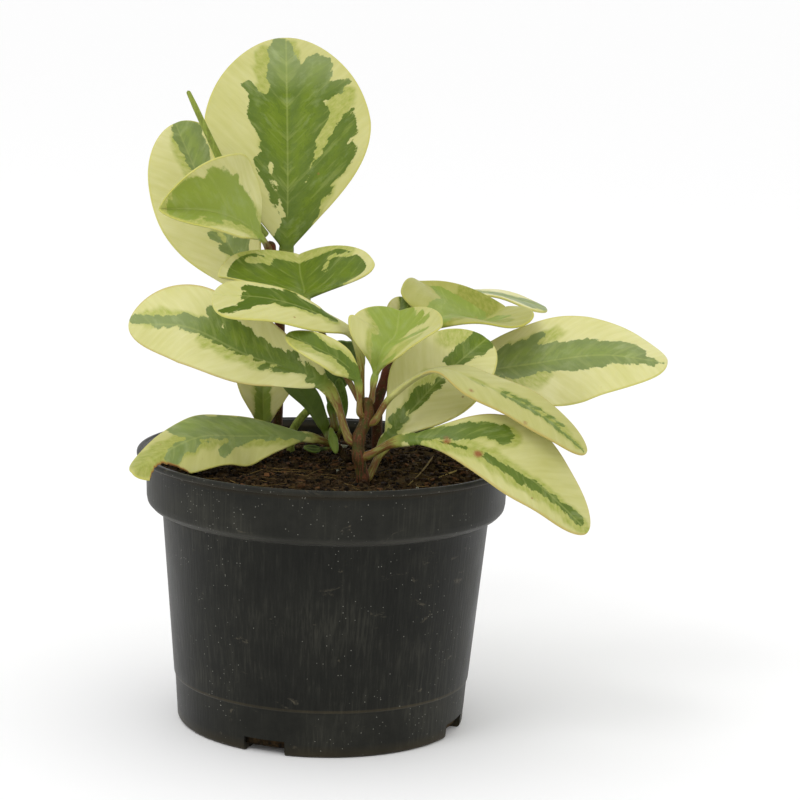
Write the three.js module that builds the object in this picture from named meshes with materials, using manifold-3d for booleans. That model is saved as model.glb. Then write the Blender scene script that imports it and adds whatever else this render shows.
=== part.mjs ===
// Potted peperomia: a bushy plant with thick, variegated leaves in a black plastic nursery pot.
// Millimetres, +Z up. The origin is on the pot's axis, on the face that the pot stands on.
// +X is to the viewer's right and +Y away from the viewer.

import * as THREE from "three";
import Module from "manifold-3d";
import { mergeVertices } from "three/addons/utils/BufferGeometryUtils.js";

const wasm = await Module();
wasm.setup();

// ---------------------------------------------------------------- driving dimensions

const GAP = 0.3; // air between pieces that touch on the real plant

const POT_HEIGHT = 93.2;
const LIP_RADIUS = 65; // the widest part of the pot
const LIP_HEIGHT = 2;
const LIP_EDGE = 0.5; // bevel of the lip
const LIP_INNER_RADIUS = 62.4;
const BAND_RADIUS = 61.8; // upright collar below the lip
const BAND_TAPER = 0.4; // how much narrower the collar is at its lower edge
const BAND_BOTTOM = 73.4;
const BAND_ROUNDING = 4.5; // height of the collar's rounded lower edge
const BAND_STEPS = 4; // facets of that rounding
const WALL_TOP_RADIUS = 56;
const STEP_HEIGHT = 16; // the wall steps in a little at this height
const STEP_DEPTH = 0.4;
const STEP_RADIUS = 50.9;
const FOOT_RADIUS = 49.4;
const FOOT_BEVEL = 0.8;
const WALL = 1.4;
const FLOOR = 2;
const INNER_SHIFT = 0.5; // how far the inside's corners sit from the outside's

const DRAIN_COUNT = 4;
const DRAIN_WIDTH = 14.5;
const DRAIN_HEIGHT = 5;
const DRAIN_DEPTH = 9; // how far a drain notch reaches in from the foot's edge
const DRAIN_TURN = -110; // degrees, direction of the first notch

const SOIL_LEVEL = 87.6; // at the pot's wall
const SOIL_RISE = 1.2; // how much higher the soil stands in the middle
const SOIL_LUMPS = 0.55; // height of the lumps on the soil
const SOIL_RINGS = 7; // rings of points from the soil's edge to its middle
const HOLE_GAP = 0.45; // air round a stem in its hole
const HOLE_FLOOR = 76; // bottom of the plain holes that the stems stand in
const HOLE_SIDES = 12;

const LATHE_SIDES = 48;
const TUBE_QUARTER = 4; // facets in a quarter of a stem's round section
const TUBE_STEPS = 4; // rings of a stem for each point of its centre line

const LEAF_THICKNESS = 1.2; // beside the midrib
const MARGIN_THICKNESS = 0.75;
const TIP_HALF_WIDTH = 0.8; // the blade's ends are never narrower than this
const LEAN_WIDTH = 4; // where a half is narrower, its faces lean less with its fold
const MIDRIB_DEPTH = 0.7; // how far the midrib stands out below the blade
const PETIOLE_RADIUS = 1.3;
const BLADE_STATIONS = 13; // rings along the blade
const BLADE_CROWDING = 1.5; // above 1, the rings stand closer together towards the tip
const BLADE_COLUMNS = 4; // strips across the blade
const PETIOLE_SPREAD = 0.85; // share of a half turn that each half of the petiole covers
const PETIOLE_FLARE = 0.22; // share of the blade over which the petiole flattens into it

// ---------------------------------------------------------------- colours

const POT_BLACK = new THREE.MeshStandardMaterial({
  color: 0x2c3032,
  roughness: 0.62,
  metalness: 0,
});
const SOIL_BROWN = new THREE.MeshStandardMaterial({
  color: 0x2b2117,
  roughness: 0.95,
  metalness: 0,
});
const STEM_RED_BROWN = new THREE.MeshStandardMaterial({
  color: 0x6d4a3a,
  roughness: 0.55,
  metalness: 0,
});
const SHOOT_GREEN = new THREE.MeshStandardMaterial({
  color: 0x9aa85a,
  roughness: 0.5,
  metalness: 0,
});
const LEAF_CREAM = new THREE.MeshStandardMaterial({
  color: 0xdcd795,
  roughness: 0.38,
  metalness: 0,
});
const LEAF_GREEN = new THREE.MeshStandardMaterial({
  color: 0x6f8f3c,
  roughness: 0.4,
  metalness: 0,
});

// ---------------------------------------------------------------- stems
// Each stem is a round tube through the points of its centre line, from its foot up.
// stem_front, stem_back, stem_tall and young_shoot stand in the soil. stem_side branches off
// the foot of stem_front, and flower_spike grows from the top of stem_tall.

const STEMS = {
  stem_front: {
    radius: 2,
    path: [[13.3, -31, 77], [13.3, -31, 86], [12.6, -31, 92], [11.3, -31, 98], [11, -29, 104],
      [13.2, -27, 110], [13, -25, 117]],
  },
  stem_back: {
    radius: 1.9,
    path: [[17, 12, 77], [17, 12, 87], [16.5, 12, 101], [16.5, 12, 109], [19, 14, 117],
      [22.5, 17, 126]],
  },
  stem_tall: {
    radius: 1.8,
    path: [[-19, 34, 77], [-19, 34, 87], [-19, 34, 99], [-19, 36, 116], [-19.5, 38, 134],
      [-22, 41, 148], [-24, 43, 160]],
  },
  young_shoot: {
    radius: 1.4,
    path: [[-13.5, 20, 80], [-13.5, 20, 87], [-13.2, 20, 95], [-10.5, 19, 100.5], [-6, 17, 106]],
  },
  flower_spike: {
    radius: 1,
    path: [[-25.6, 43, 161.8], [-34.5, 37, 174.5], [-43, 34, 192], [-53, 32, 212.5]],
  },
  stem_side: {
    radius: 1.1,
    path: [[8.8, -28, 97], [7, -14, 93.5], [5, -1, 93], [2.5, 7, 95.5], [0.8, 9, 101]],
  },
};

const STANDING = ["stem_front", "stem_back", "stem_tall", "young_shoot"];

// ---------------------------------------------------------------- leaves
// stem, at: the stem that carries the leaf, and where along the stem's points.
// path: centre line of the blade from its neck to its tip.
// lead: points at the start of the path that still belong to the petiole.
// facing: direction of the upper face at the neck and at the tip.
// halfWidth: left and right of the midrib, for a viewer who sees the tip up.
// widest: share of the blade's length where it is widest.
// base, tip: how full the blade is towards its base and its tip (exponents).
// fold: degrees that each half rises from the midrib, at the neck and at the tip.
// curl: further degrees from the midrib to the margin.
// petiole: radius of a petiole that is thinner than the usual one.
// even: share by which the blade's cross sections keep to the straight line from neck to tip
// where the centre line bends sharply.
// bite: a torn place in one margin: its side (-1 is left), where it starts and ends along
// the blade, and how deep it is.

const LEAVES = {
  leaf_top: {
    stem: "stem_tall", at: 4.9,
    path: [[-18, 45, 156.5], [-18.2, 46.8, 178.8], [-19.5, 56.2, 203.7], [-21.3, 70, 230.4]],
    facing: [[0.15, -0.95, 0.3], [0.05, -0.9, 0.4]],
    halfWidth: [29.5, 29.8], widest: 0.62, base: 1.25, tip: 1.7, fold: [16, 0], curl: -4,
  },
  leaf_top_left: {
    stem: "stem_tall", at: 4.3,
    path: [[-29, 49, 141.5], [-40, 56, 158.5], [-50.5, 63, 178.5], [-60.5, 70, 198.5]],
    facing: [[-0.2, -0.95, 0.3], [-0.15, -0.9, 0.45]],
    halfWidth: [20, 17.5], widest: 0.55, base: 0.9, tip: 1.9, fold: [11, 8], curl: 3,
  },
  leaf_young: {
    stem: "stem_tall", at: 5.8,
    path: [[-26.7, 34, 162.2], [-34.5, 27, 168.5], [-45, 18, 172.5], [-60, 8, 173.5]],
    facing: [[0.05, -0.7, 0.7], [0.15, -0.95, 0.25]],
    halfWidth: [12.5, 22], widest: 0.5, base: 1.1, tip: 1.8, fold: [9, 40], curl: 18,
  },
  leaf_open_back: {
    stem: "stem_front", at: 5.95, petiole: 1, lead: 1,
    path: [[-6, -6, 140.5], [-9.5, 4, 145], [-10, 14, 146.5], [-12, 26, 150.5], [-13, 37, 156]],
    facing: [[-0.05, -0.5, 0.9], [-0.1, -0.3, 0.95]],
    halfWidth: [30, 26], widest: 0.4, base: 0.9, tip: 1.9, fold: [12, 22], curl: -1,
    even: 0.3,
  },
  leaf_mid_left: {
    stem: "stem_front", at: 5.2,
    path: [[9, -9, 133], [-3, -15, 142], [-20, -19, 147.5], [-39, -18, 148]],
    facing: [[0.2, -0.45, 0.85], [-0.05, -0.4, 0.9]],
    halfWidth: [13.5, 9.5], widest: 0.8, base: 1, tip: 3.4, fold: [-7, 2], curl: 0,
  },
  leaf_big_left: {
    stem: "stem_front", at: 3.9,
    path: [[-1.5, -22, 120.5], [-27, -13, 127.5], [-48, -7, 135.5], [-67.3, -3, 135]],
    facing: [[0.1, -0.95, 0.3], [0.05, -0.95, 0.3]],
    halfWidth: [12.5, 15], widest: 0.65, base: 0.65, tip: 1.7, fold: [6, -4], curl: 0,
  },
  leaf_mid_front: {
    stem: "stem_front", at: 5.3,
    path: [[10, -27, 122.5], [4.5, -26.2, 128.5], [-4, -26.7, 132.8], [-14, -25, 136.8]],
    facing: [[0.05, -0.8, 0.6], [0.15, -0.5, 0.85]],
    halfWidth: [9, 6], widest: 0.55, base: 1, tip: 2.1, fold: [21, 15], curl: 2,
  },
  leaf_rim_left: {
    stem: "stem_side", at: 2.6, petiole: 1.2,
    path: [[-7.3, -0.5, 98], [-29, -8, 98.8], [-43.5, -26.5, 101], [-62, -46.4, 93.5]],
    facing: [[0.15, -0.65, 0.75], [-0.05, -0.65, 0.75]],
    halfWidth: [13.5, 11.5], widest: 0.46, base: 1.25, tip: 1.9, fold: [15, -17], curl: -8,
    bite: { side: -1, from: 0.785, to: 0.95, depth: 5.2 },
  },
  leaf_low_back: {
    stem: "stem_tall", at: 1.4, petiole: 1,
    path: [[-23.5, 30, 95], [-24, 27, 107], [-24, 25, 118], [-26, 22, 131]],
    facing: [[0, -1, 0.2], [0, -0.95, 0.3]],
    halfWidth: [10, 11.5], widest: 0.6, base: 1.1, tip: 2.2, fold: [17, 11], curl: 0,
  },
  leaf_dark_left: {
    stem: "stem_side", at: 3.1,
    path: [[-1.2, 12.5, 98.5], [-7, 9, 109], [-13, 6, 117], [-16.5, 3, 126.5]],
    facing: [[0.55, 0.75, 0.35], [0.45, 0.8, 0.45]],
    halfWidth: [6, 7], widest: 0.6, base: 0.7, tip: 2.2, fold: [8, 5], curl: 2,
  },
  leaf_dark_right: {
    stem: "stem_side", at: 3.9,
    path: [[1, 7, 107.5], [2, 3, 117], [5, 0, 123], [5.5, -3, 132]],
    facing: [[-0.1, 0.95, 0.2], [-0.1, 0.95, 0.3]],
    halfWidth: [8, 9], widest: 0.6, base: 1.2, tip: 2.2, fold: [18, 17], curl: 15,
    even: 0.5,
  },
  leaf_dark_small: {
    stem: "stem_side", at: 3, petiole: 0.8,
    path: [[4.6, 2.2, 102], [4.5, 0.3, 110], [3.3, -1.2, 119]],
    facing: [[-0.35, -0.9, 0.2], [-0.4, -0.85, 0.3]],
    halfWidth: [2.5, 2.5], widest: 0.55, base: 1.1, tip: 2.2, fold: [18, 13], curl: 3,
  },
  leaflet_down: {
    stem: "stem_side", at: 3.6, petiole: 0.6,
    path: [[0.9, 4.5, 100], [1.5, 1.4, 97.6], [3, -2.2, 95]],
    facing: [[0, -0.8, 0.6], [0, -0.8, 0.6]],
    halfWidth: [1.7, 1.7], widest: 0.5, base: 1, tip: 2, fold: [5, 5], curl: 0,
  },
  leaflet_low: {
    stem: "stem_side", at: 2.4, petiole: 0.6,
    path: [[-1.5, -0.5, 92.9], [-4.5, -2.5, 92.2], [-8, -4, 93]],
    facing: [[0, -0.8, 0.6], [0, -0.8, 0.6]],
    halfWidth: [1.6, 1.6], widest: 0.5, base: 1, tip: 2, fold: [5, 5], curl: 0,
  },
  leaf_cup: {
    stem: "stem_front", at: 5.9,
    path: [[15.5, -18.5, 122], [17.9, -20.4, 132.1], [21.9, -14.5, 136.1], [23.1, -6.2, 143.5]],
    facing: [[-0.4, -0.75, 0.55], [-0.25, -0.85, 0.55]],
    halfWidth: [17.5, 23.5], widest: 0.54, base: 2.2, tip: 2.2, fold: [24, 24], curl: 16,
    even: 0.5,
  },
  leaf_cream: {
    stem: "stem_front", at: 1.85,
    path: [[20.5, -22, 102], [30, -16, 113.5], [40.5, -9, 124], [53, 0, 134]],
    facing: [[-0.25, -0.9, 0.3], [-0.3, -0.85, 0.45]],
    halfWidth: [16.5, 16], widest: 0.55, base: 1.2, tip: 2, fold: [13, 7], curl: 0,
  },
  leaf_right_cup: {
    stem: "stem_back", at: 4.8,
    path: [[34, 5.6, 136.5], [40.2, 14.1, 139.4], [51.4, 25, 136.3], [60.5, 38, 139.7]],
    facing: [[0.15, -0.15, 0.95], [-0.05, -0.25, 0.95]],
    halfWidth: [31.5, 20.5], widest: 0.61, base: 1.1, tip: 2.25, fold: [4.5, 19.5], curl: -3.5,
    even: 0.5,
  },
  leaf_right_edge: {
    stem: "stem_back", at: 4.7,
    path: [[42.5, 50, 140], [53, 52, 142.5], [65.5, 54, 140], [76, 56, 137]],
    facing: [[-0.15, 0, 1], [0, -0.15, 1]],
    halfWidth: [9.5, 10], widest: 0.55, base: 1.1, tip: 2.3, fold: [5, 1], curl: -1,
    even: 0.5,
  },
  leaf_far_right: {
    stem: "stem_back", at: 4.2,
    path: [[42.5, 20, 118], [67, 18, 122.5], [92.5, 13, 127.5], [114.5, 8, 126.5]],
    facing: [[-0.05, -0.9, 0.5], [0.25, -0.55, 0.8]],
    halfWidth: [19, 18.5], widest: 0.6, base: 0.8, tip: 1.6, fold: [6, -6], curl: -7,
  },
  leaf_arching: {
    stem: "stem_front", at: 5,
    path: [[22, -27, 118.5], [35.5, -28, 127.5], [50.5, -31, 123.5], [70.5, -35, 114.5],
      [85.5, -38, 103]],
    facing: [[-0.75, 0.25, 0.6], [0.5, -0.55, 0.7]],
    halfWidth: [10, 10], widest: 0.5, base: 1.1, tip: 2.1, fold: [0, 3], curl: -7,
  },
  leaf_rim_right: {
    stem: "stem_front", at: 3,
    path: [[27, -35, 105], [49, -43, 104.5], [68, -47, 95], [86.5, -48, 79]],
    facing: [[-0.05, -0.75, 0.65], [0.5, -0.6, 0.6]],
    halfWidth: [18, 11], widest: 0.55, base: 1.4, tip: 1.7, fold: [11, -4], curl: 1,
  },
  leaf_behind_cup: {
    stem: "stem_back", at: 4.9,
    path: [[23.2, 23, 129.5], [23.5, 24, 134], [23, 26, 139], [23.5, 29, 143.5]],
    facing: [[0, -0.9, 0.4], [0, -0.85, 0.55]],
    halfWidth: [5, 5], widest: 0.5, base: 1.1, tip: 2.1, fold: [11, 6], curl: 1,
  },
};

// ---------------------------------------------------------------- shared helpers

/** A smooth curve through the given points. */
function curveThrough(points) {
  const vectors = points.map((point) => new THREE.Vector3(...point));
  return new THREE.CatmullRomCurve3(vectors, false, "catmullrom", 0.5);
}

/** A library solid from a closed geometry. */
function toSolid(geometry) {
  const bare = geometry.clone();
  bare.deleteAttribute("normal");
  bare.deleteAttribute("uv");
  const merged = mergeVertices(bare, 1e-4);
  const vertProperties = new Float32Array(merged.attributes.position.array);
  const triVerts = new Uint32Array(merged.index.array);
  return new wasm.Manifold(new wasm.Mesh({ numProp: 3, vertProperties, triVerts }));
}

/** A geometry from a library solid. */
function toGeometry(solid) {
  const mesh = solid.getMesh();
  const geometry = new THREE.BufferGeometry();
  geometry.setAttribute("position", new THREE.BufferAttribute(mesh.vertProperties, 3));
  geometry.setIndex(new THREE.BufferAttribute(mesh.triVerts, 1));
  geometry.computeVertexNormals();
  return geometry;
}

/** The body of the first geometry with the others cut out of it. */
function cut(geometry, cutters) {
  let solid = toSolid(geometry);
  for (const cutter of cutters) {
    solid = solid.subtract(toSolid(cutter));
  }
  return toGeometry(solid);
}

/** A turned body about the Z axis from [radius, height] points, foot to top. */
function turned(profile, sides) {
  const points = profile.map(([radius, height]) => new THREE.Vector2(radius, height));
  const geometry = new THREE.LatheGeometry(points, sides);
  geometry.rotateX(Math.PI / 2);
  return geometry;
}

/** A round tube through the points of its centre line, closed at both ends. */
function tube(path, radius) {
  const shape = new THREE.Shape();
  shape.absarc(0, 0, radius, 0, 2 * Math.PI);
  return new THREE.ExtrudeGeometry(shape, {
    extrudePath: curveThrough(path),
    steps: TUBE_STEPS * path.length,
    curveSegments: TUBE_QUARTER,
  });
}

// ---------------------------------------------------------------- pot

/** Outside of the pot from the middle of the foot up to the lip. */
function potOutside() {
  const lipBottom = POT_HEIGHT - LIP_HEIGHT;
  const points = [
    [0, 0],
    [FOOT_RADIUS - FOOT_BEVEL, 0],
    [FOOT_RADIUS, FOOT_BEVEL],
    [STEP_RADIUS - STEP_DEPTH, STEP_HEIGHT - STEP_DEPTH],
    [STEP_RADIUS, STEP_HEIGHT],
    [WALL_TOP_RADIUS, BAND_BOTTOM],
  ];
  const ledge = BAND_RADIUS - BAND_TAPER - WALL_TOP_RADIUS;
  for (let i = 1; i <= BAND_STEPS; i += 1) {
    const angle = (i / BAND_STEPS) * (Math.PI / 2);
    const height = BAND_BOTTOM + BAND_ROUNDING * (1 - Math.cos(angle));
    points.push([WALL_TOP_RADIUS + ledge * Math.sin(angle), height]);
  }
  points.push([BAND_RADIUS, lipBottom]);
  points.push([LIP_RADIUS - LIP_EDGE, lipBottom]);
  points.push([LIP_RADIUS, lipBottom + LIP_EDGE]);
  points.push([LIP_RADIUS, POT_HEIGHT - LIP_EDGE]);
  points.push([LIP_RADIUS - LIP_EDGE, POT_HEIGHT]);
  return points;
}

/** Inside of the pot's wall, from the lip down to the floor. */
function potInside() {
  return [
    [LIP_INNER_RADIUS, POT_HEIGHT],
    [BAND_RADIUS - WALL, POT_HEIGHT - LIP_HEIGHT - INNER_SHIFT],
    [BAND_RADIUS - BAND_TAPER - WALL, BAND_BOTTOM + BAND_ROUNDING],
    [WALL_TOP_RADIUS - WALL, BAND_BOTTOM + INNER_SHIFT],
    [STEP_RADIUS - WALL, STEP_HEIGHT],
    [FOOT_RADIUS - WALL, FLOOR],
  ];
}

/** The drain notches, each a block through the bottom edge of the wall. */
function drainCutters() {
  const cutters = [];
  for (let i = 0; i < DRAIN_COUNT; i += 1) {
    const turn = THREE.MathUtils.degToRad(DRAIN_TURN) + (i * 2 * Math.PI) / DRAIN_COUNT;
    const block = new THREE.BoxGeometry(2 * DRAIN_DEPTH, DRAIN_WIDTH, 2 * DRAIN_HEIGHT);
    block.translate(FOOT_RADIUS, 0, 0);
    block.rotateZ(turn);
    cutters.push(block);
  }
  return cutters;
}

function potGeometry() {
  const profile = [...potOutside(), ...potInside(), [0, FLOOR]];
  return cut(turned(profile, LATHE_SIDES), drainCutters());
}

// ---------------------------------------------------------------- soil

/** Height of the soil's surface: a low mound with lumps. */
function soilHeight(x, y) {
  const share = Math.hypot(x, y) / BAND_RADIUS;
  const mound = SOIL_RISE * (1 - share * share);
  const lumps = Math.sin(x * 0.31 + y * 0.12) * Math.cos(y * 0.27 - x * 0.09)
    + 0.5 * Math.sin(x * 0.73) * Math.sin(y * 0.61 + 1);
  return SOIL_LEVEL + mound + SOIL_LUMPS * lumps * (1 - share ** 6);
}

/** The plain holes that the standing stems are set in. */
function stemHoles() {
  const holes = [];
  for (const name of STANDING) {
    const { radius, path } = STEMS[name];
    const [x, y] = path[0];
    const wide = radius + HOLE_GAP;
    const length = 2 * (SOIL_LEVEL - HOLE_FLOOR);
    const hole = new THREE.CylinderGeometry(wide, wide, length, HOLE_SIDES);
    hole.rotateX(Math.PI / 2);
    hole.translate(x, y, HOLE_FLOOR + length / 2);
    holes.push(hole);
  }
  return holes;
}

function soilGeometry() {
  const inside = potInside().reverse();
  const side = inside.map(([radius, height]) => [radius - GAP, height]);
  side[0][1] = FLOOR + GAP;
  const wall = side.filter(([, height]) => height < SOIL_LEVEL);
  const edge = BAND_RADIUS - WALL - 2 * GAP;
  const top = [];
  for (let i = 0; i < SOIL_RINGS; i += 1) {
    top.push([edge * (1 - i / SOIL_RINGS), SOIL_LEVEL]);
  }
  const profile = [[0, FLOOR + GAP], ...wall, ...top, [0, SOIL_LEVEL]];
  const geometry = turned(profile, LATHE_SIDES);
  const position = geometry.attributes.position;
  for (let i = 0; i < position.count; i += 1) {
    if (Math.abs(position.getZ(i) - SOIL_LEVEL) < GAP) {
      position.setZ(i, soilHeight(position.getX(i), position.getY(i)));
    }
  }
  return cut(geometry, stemHoles());
}

// ---------------------------------------------------------------- leaves

/** Share of the full half width at a place along the blade, 0 at its neck and 1 at its tip. */
function bladeProfile(place, leaf) {
  if (place < leaf.widest) {
    return Math.sin((Math.PI / 2) * (place / leaf.widest)) ** leaf.base;
  }
  const beyond = (place - leaf.widest) / (1 - leaf.widest);
  return Math.sqrt(Math.max(0, 1 - beyond ** leaf.tip));
}

/** How far the torn place of a margin reaches in, at a place along the blade. */
function biteDepth(place, side, bite) {
  if (!bite || side !== bite.side || place <= bite.from || place >= bite.to) {
    return 0;
  }
  return bite.depth * Math.sin((Math.PI * (place - bite.from)) / (bite.to - bite.from));
}

/** Where a leaf's petiole starts: beside its stem, clear of it by the gap. */
function petioleStart(leaf, radius) {
  const stem = STEMS[leaf.stem];
  const curve = curveThrough(stem.path);
  const share = leaf.at / (stem.path.length - 1);
  const root = curve.getPoint(share);
  const along = curve.getTangent(share);
  const reach = new THREE.Vector3(...leaf.path[0]).sub(root);
  const slope = Math.abs(reach.clone().normalize().dot(along));
  const outward = reach.addScaledVector(along, -reach.dot(along)).normalize();
  const distance = stem.radius + GAP + radius * slope;
  return root.addScaledVector(outward, distance);
}

/** The places of a leaf's rings: two on the petiole, then the blade, closer at the tip. */
function ringPlaces() {
  const places = [-1, -0.5];
  for (let i = 0; i <= BLADE_STATIONS; i += 1) {
    places.push(1 - (1 - i / BLADE_STATIONS) ** BLADE_CROWDING);
  }
  return places;
}

/** One closed ring of points round the leaf: upper face left to right, then back below. */
function leafRing(leaf, curve, place, radius) {
  const last = curve.points.length - 1;
  const neck = 1 + (leaf.lead ?? 0);
  const share = (place < 0 ? neck * (1 + place) : neck + place * (last - neck)) / last;
  const blade = Math.max(0, place);
  const centre = curve.getPoint(share);
  const chord = curve.points[last].clone().sub(curve.points[neck]).normalize();
  const even = (leaf.even ?? 0) * Math.min(1, 1 + place);
  const along = curve.getTangent(share).lerp(chord, even).normalize();
  const ease = blade * blade * (3 - 2 * blade);
  const up = new THREE.Vector3(...leaf.facing[0]).normalize();
  up.lerp(new THREE.Vector3(...leaf.facing[1]).normalize(), ease);
  up.addScaledVector(along, -up.dot(along)).normalize();
  const right = new THREE.Vector3().crossVectors(along, up);

  const flat = THREE.MathUtils.smoothstep(blade, 0, PETIOLE_FLARE);
  const fold = THREE.MathUtils.degToRad(
    leaf.fold[0] * (1 - blade) + leaf.fold[1] * blade,
  );
  const curl = THREE.MathUtils.degToRad(leaf.curl);
  const top = [];
  const bottom = [];
  for (let i = 0; i <= BLADE_COLUMNS; i += 1) {
    const side = (2 * i) / BLADE_COLUMNS - 1;
    const amount = Math.abs(side);
    const half = side < 0 ? leaf.halfWidth[0] : leaf.halfWidth[1];
    const full = half * bladeProfile(blade, leaf) - biteDepth(blade, Math.sign(side), leaf.bite);
    const width = Math.max(full, TIP_HALF_WIDTH);
    const reach = amount * width * (place < 0 ? 0 : 1);
    const angle = fold + (curl * amount) / 2;
    const round = side * (Math.PI / 2) * PETIOLE_SPREAD;
    const x = Math.sign(side) * reach * Math.cos(angle) + (1 - flat) * radius * Math.sin(round);
    const z = reach * Math.sin(angle);
    const thickness = LEAF_THICKNESS + (MARGIN_THICKNESS - LEAF_THICKNESS) * amount ** 2;
    const above = (1 - flat) * radius * Math.cos(round) + (flat * thickness) / 2;
    const rib = flat * MIDRIB_DEPTH * (1 - blade) * Math.max(0, 1 - 2 * amount);
    const leaning = flat * Math.min(1, width / LEAN_WIDTH);
    const lean = Math.sign(side) * (fold + curl * amount) * leaning;
    const point = (height) => centre.clone()
      .addScaledVector(right, x - height * Math.sin(lean))
      .addScaledVector(up, z + height * Math.cos(lean));
    top.push(point(above));
    bottom.push(point(-above - rib));
  }
  return [...top, ...bottom.reverse()];
}

/** A closed body through rings of equal point count, with flat ends. */
function loft(rings) {
  const count = rings[0].length;
  const half = count / 2;
  const positions = rings.flat().flatMap((point) => point.toArray());
  const index = [];
  for (let r = 0; r + 1 < rings.length; r += 1) {
    for (let i = 0; i < count; i += 1) {
      const a = r * count + i;
      const b = r * count + ((i + 1) % count);
      const c = a + count;
      const d = b + count;
      if (i < half) {
        index.push(a, b, c, b, d, c);
      } else {
        index.push(a, b, d, a, d, c);
      }
    }
  }
  const last = (rings.length - 1) * count;
  for (let i = 0; i + 1 < half; i += 1) {
    const j = count - 1 - i;
    index.push(i, j, i + 1, i + 1, j, j - 1);
    index.push(last + i, last + i + 1, last + j, last + i + 1, last + j - 1, last + j);
  }
  const geometry = new THREE.BufferGeometry();
  geometry.setAttribute("position", new THREE.Float32BufferAttribute(positions, 3));
  geometry.setIndex(index);
  geometry.computeVertexNormals();
  return geometry;
}

function leafGeometry(leaf) {
  const radius = leaf.petiole ?? PETIOLE_RADIUS;
  const start = petioleStart(leaf, radius);
  const curve = curveThrough([start.toArray(), ...leaf.path]);
  return loft(ringPlaces().map((place) => leafRing(leaf, curve, place, radius)));
}

// ---------------------------------------------------------------- the object

const plant = new THREE.Group();

function add(name, geometry, material) {
  const mesh = new THREE.Mesh(geometry, material);
  mesh.name = name;
  plant.add(mesh);
}

add("pot", potGeometry(), POT_BLACK);
add("soil", soilGeometry(), SOIL_BROWN);

for (const [name, stem] of Object.entries(STEMS)) {
  const material = name.startsWith("stem") ? STEM_RED_BROWN : SHOOT_GREEN;
  add(name, tube(stem.path, stem.radius), material);
}

for (const [name, leaf] of Object.entries(LEAVES)) {
  const material = name.includes("dark") ? LEAF_GREEN : LEAF_CREAM;
  add(name, leafGeometry(leaf), material);
}

export default plant;
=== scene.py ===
"""Dresses the potted peperomia: waxy variegated leaves, mottled stems, soil and a dusty pot."""

import functools
import math

import bpy
import numpy as np
from mathutils import Matrix


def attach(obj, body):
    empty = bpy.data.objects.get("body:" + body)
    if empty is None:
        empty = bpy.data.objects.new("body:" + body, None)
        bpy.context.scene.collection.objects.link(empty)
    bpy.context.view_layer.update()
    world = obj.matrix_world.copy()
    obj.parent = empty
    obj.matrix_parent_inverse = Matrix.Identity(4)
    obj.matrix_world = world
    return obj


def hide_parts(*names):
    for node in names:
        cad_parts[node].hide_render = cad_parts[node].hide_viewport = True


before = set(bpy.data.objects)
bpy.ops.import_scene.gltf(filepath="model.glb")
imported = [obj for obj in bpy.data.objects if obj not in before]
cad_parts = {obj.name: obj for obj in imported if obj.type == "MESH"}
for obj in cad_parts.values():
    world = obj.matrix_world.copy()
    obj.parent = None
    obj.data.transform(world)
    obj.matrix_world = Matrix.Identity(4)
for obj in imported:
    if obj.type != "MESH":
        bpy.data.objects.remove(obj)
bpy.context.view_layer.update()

MM = 0.001  # every table below is in millimetres, and Blender works in metres

# ---------------------------------------------------------------- forms of the plant
# These repeat the part's own dimensions, so that each fine piece keeps its solid's form. Five
# leaves are drawn a little closer to the photograph than their solids, and are marked so.

GAP = 0.3  # between a stem and its petiole's start, as in the solids
LEAF_THICKNESS = 1.2
MARGIN_THICKNESS = 0.75
MIDRIB_DEPTH = 0.7
PETIOLE_RADIUS = 1.3
PETIOLE_FLARE = 0.22  # share of the blade over which the petiole flattens into it
LEAN_WIDTH = 4  # where a blade is narrower than this, its edge is not turned with its fold

STEMS = {
    "stem_front": {
        "radius": 2,
        "path": [[13.3, -31, 77], [13.3, -31, 86], [12.6, -31, 92], [11.3, -31, 98], [11, -29, 104],
            [13.2, -27, 110], [13, -25, 117]],
    },
    "stem_back": {
        "radius": 1.9,
        "path": [[17, 12, 77], [17, 12, 87], [16.5, 12, 101], [16.5, 12, 109], [19, 14, 117],
            [22.5, 17, 126]],
    },
    "stem_tall": {
        "radius": 1.8,
        "path": [[-19, 34, 77], [-19, 34, 87], [-19, 34, 99], [-19, 36, 116], [-19.5, 38, 134],
            [-22, 41, 148], [-24, 43, 160]],
    },
    "young_shoot": {
        "radius": 1.4,
        "path": [[-13.5, 20, 80], [-13.5, 20, 87], [-13.2, 20, 95], [-10.5, 19, 100.5], [-6, 17, 106]],
    },
    "flower_spike": {
        "radius": 1,
        "path": [[-25.6, 43, 161.8], [-34.5, 37, 174.5], [-43, 34, 192], [-53, 32, 212.5]],
    },
    "stem_side": {
        "radius": 1.1,
        "path": [[8.8, -28, 97], [7, -14, 93.5], [5, -1, 93], [2.5, 7, 95.5], [0.8, 9, 101]],
    },
}

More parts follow.
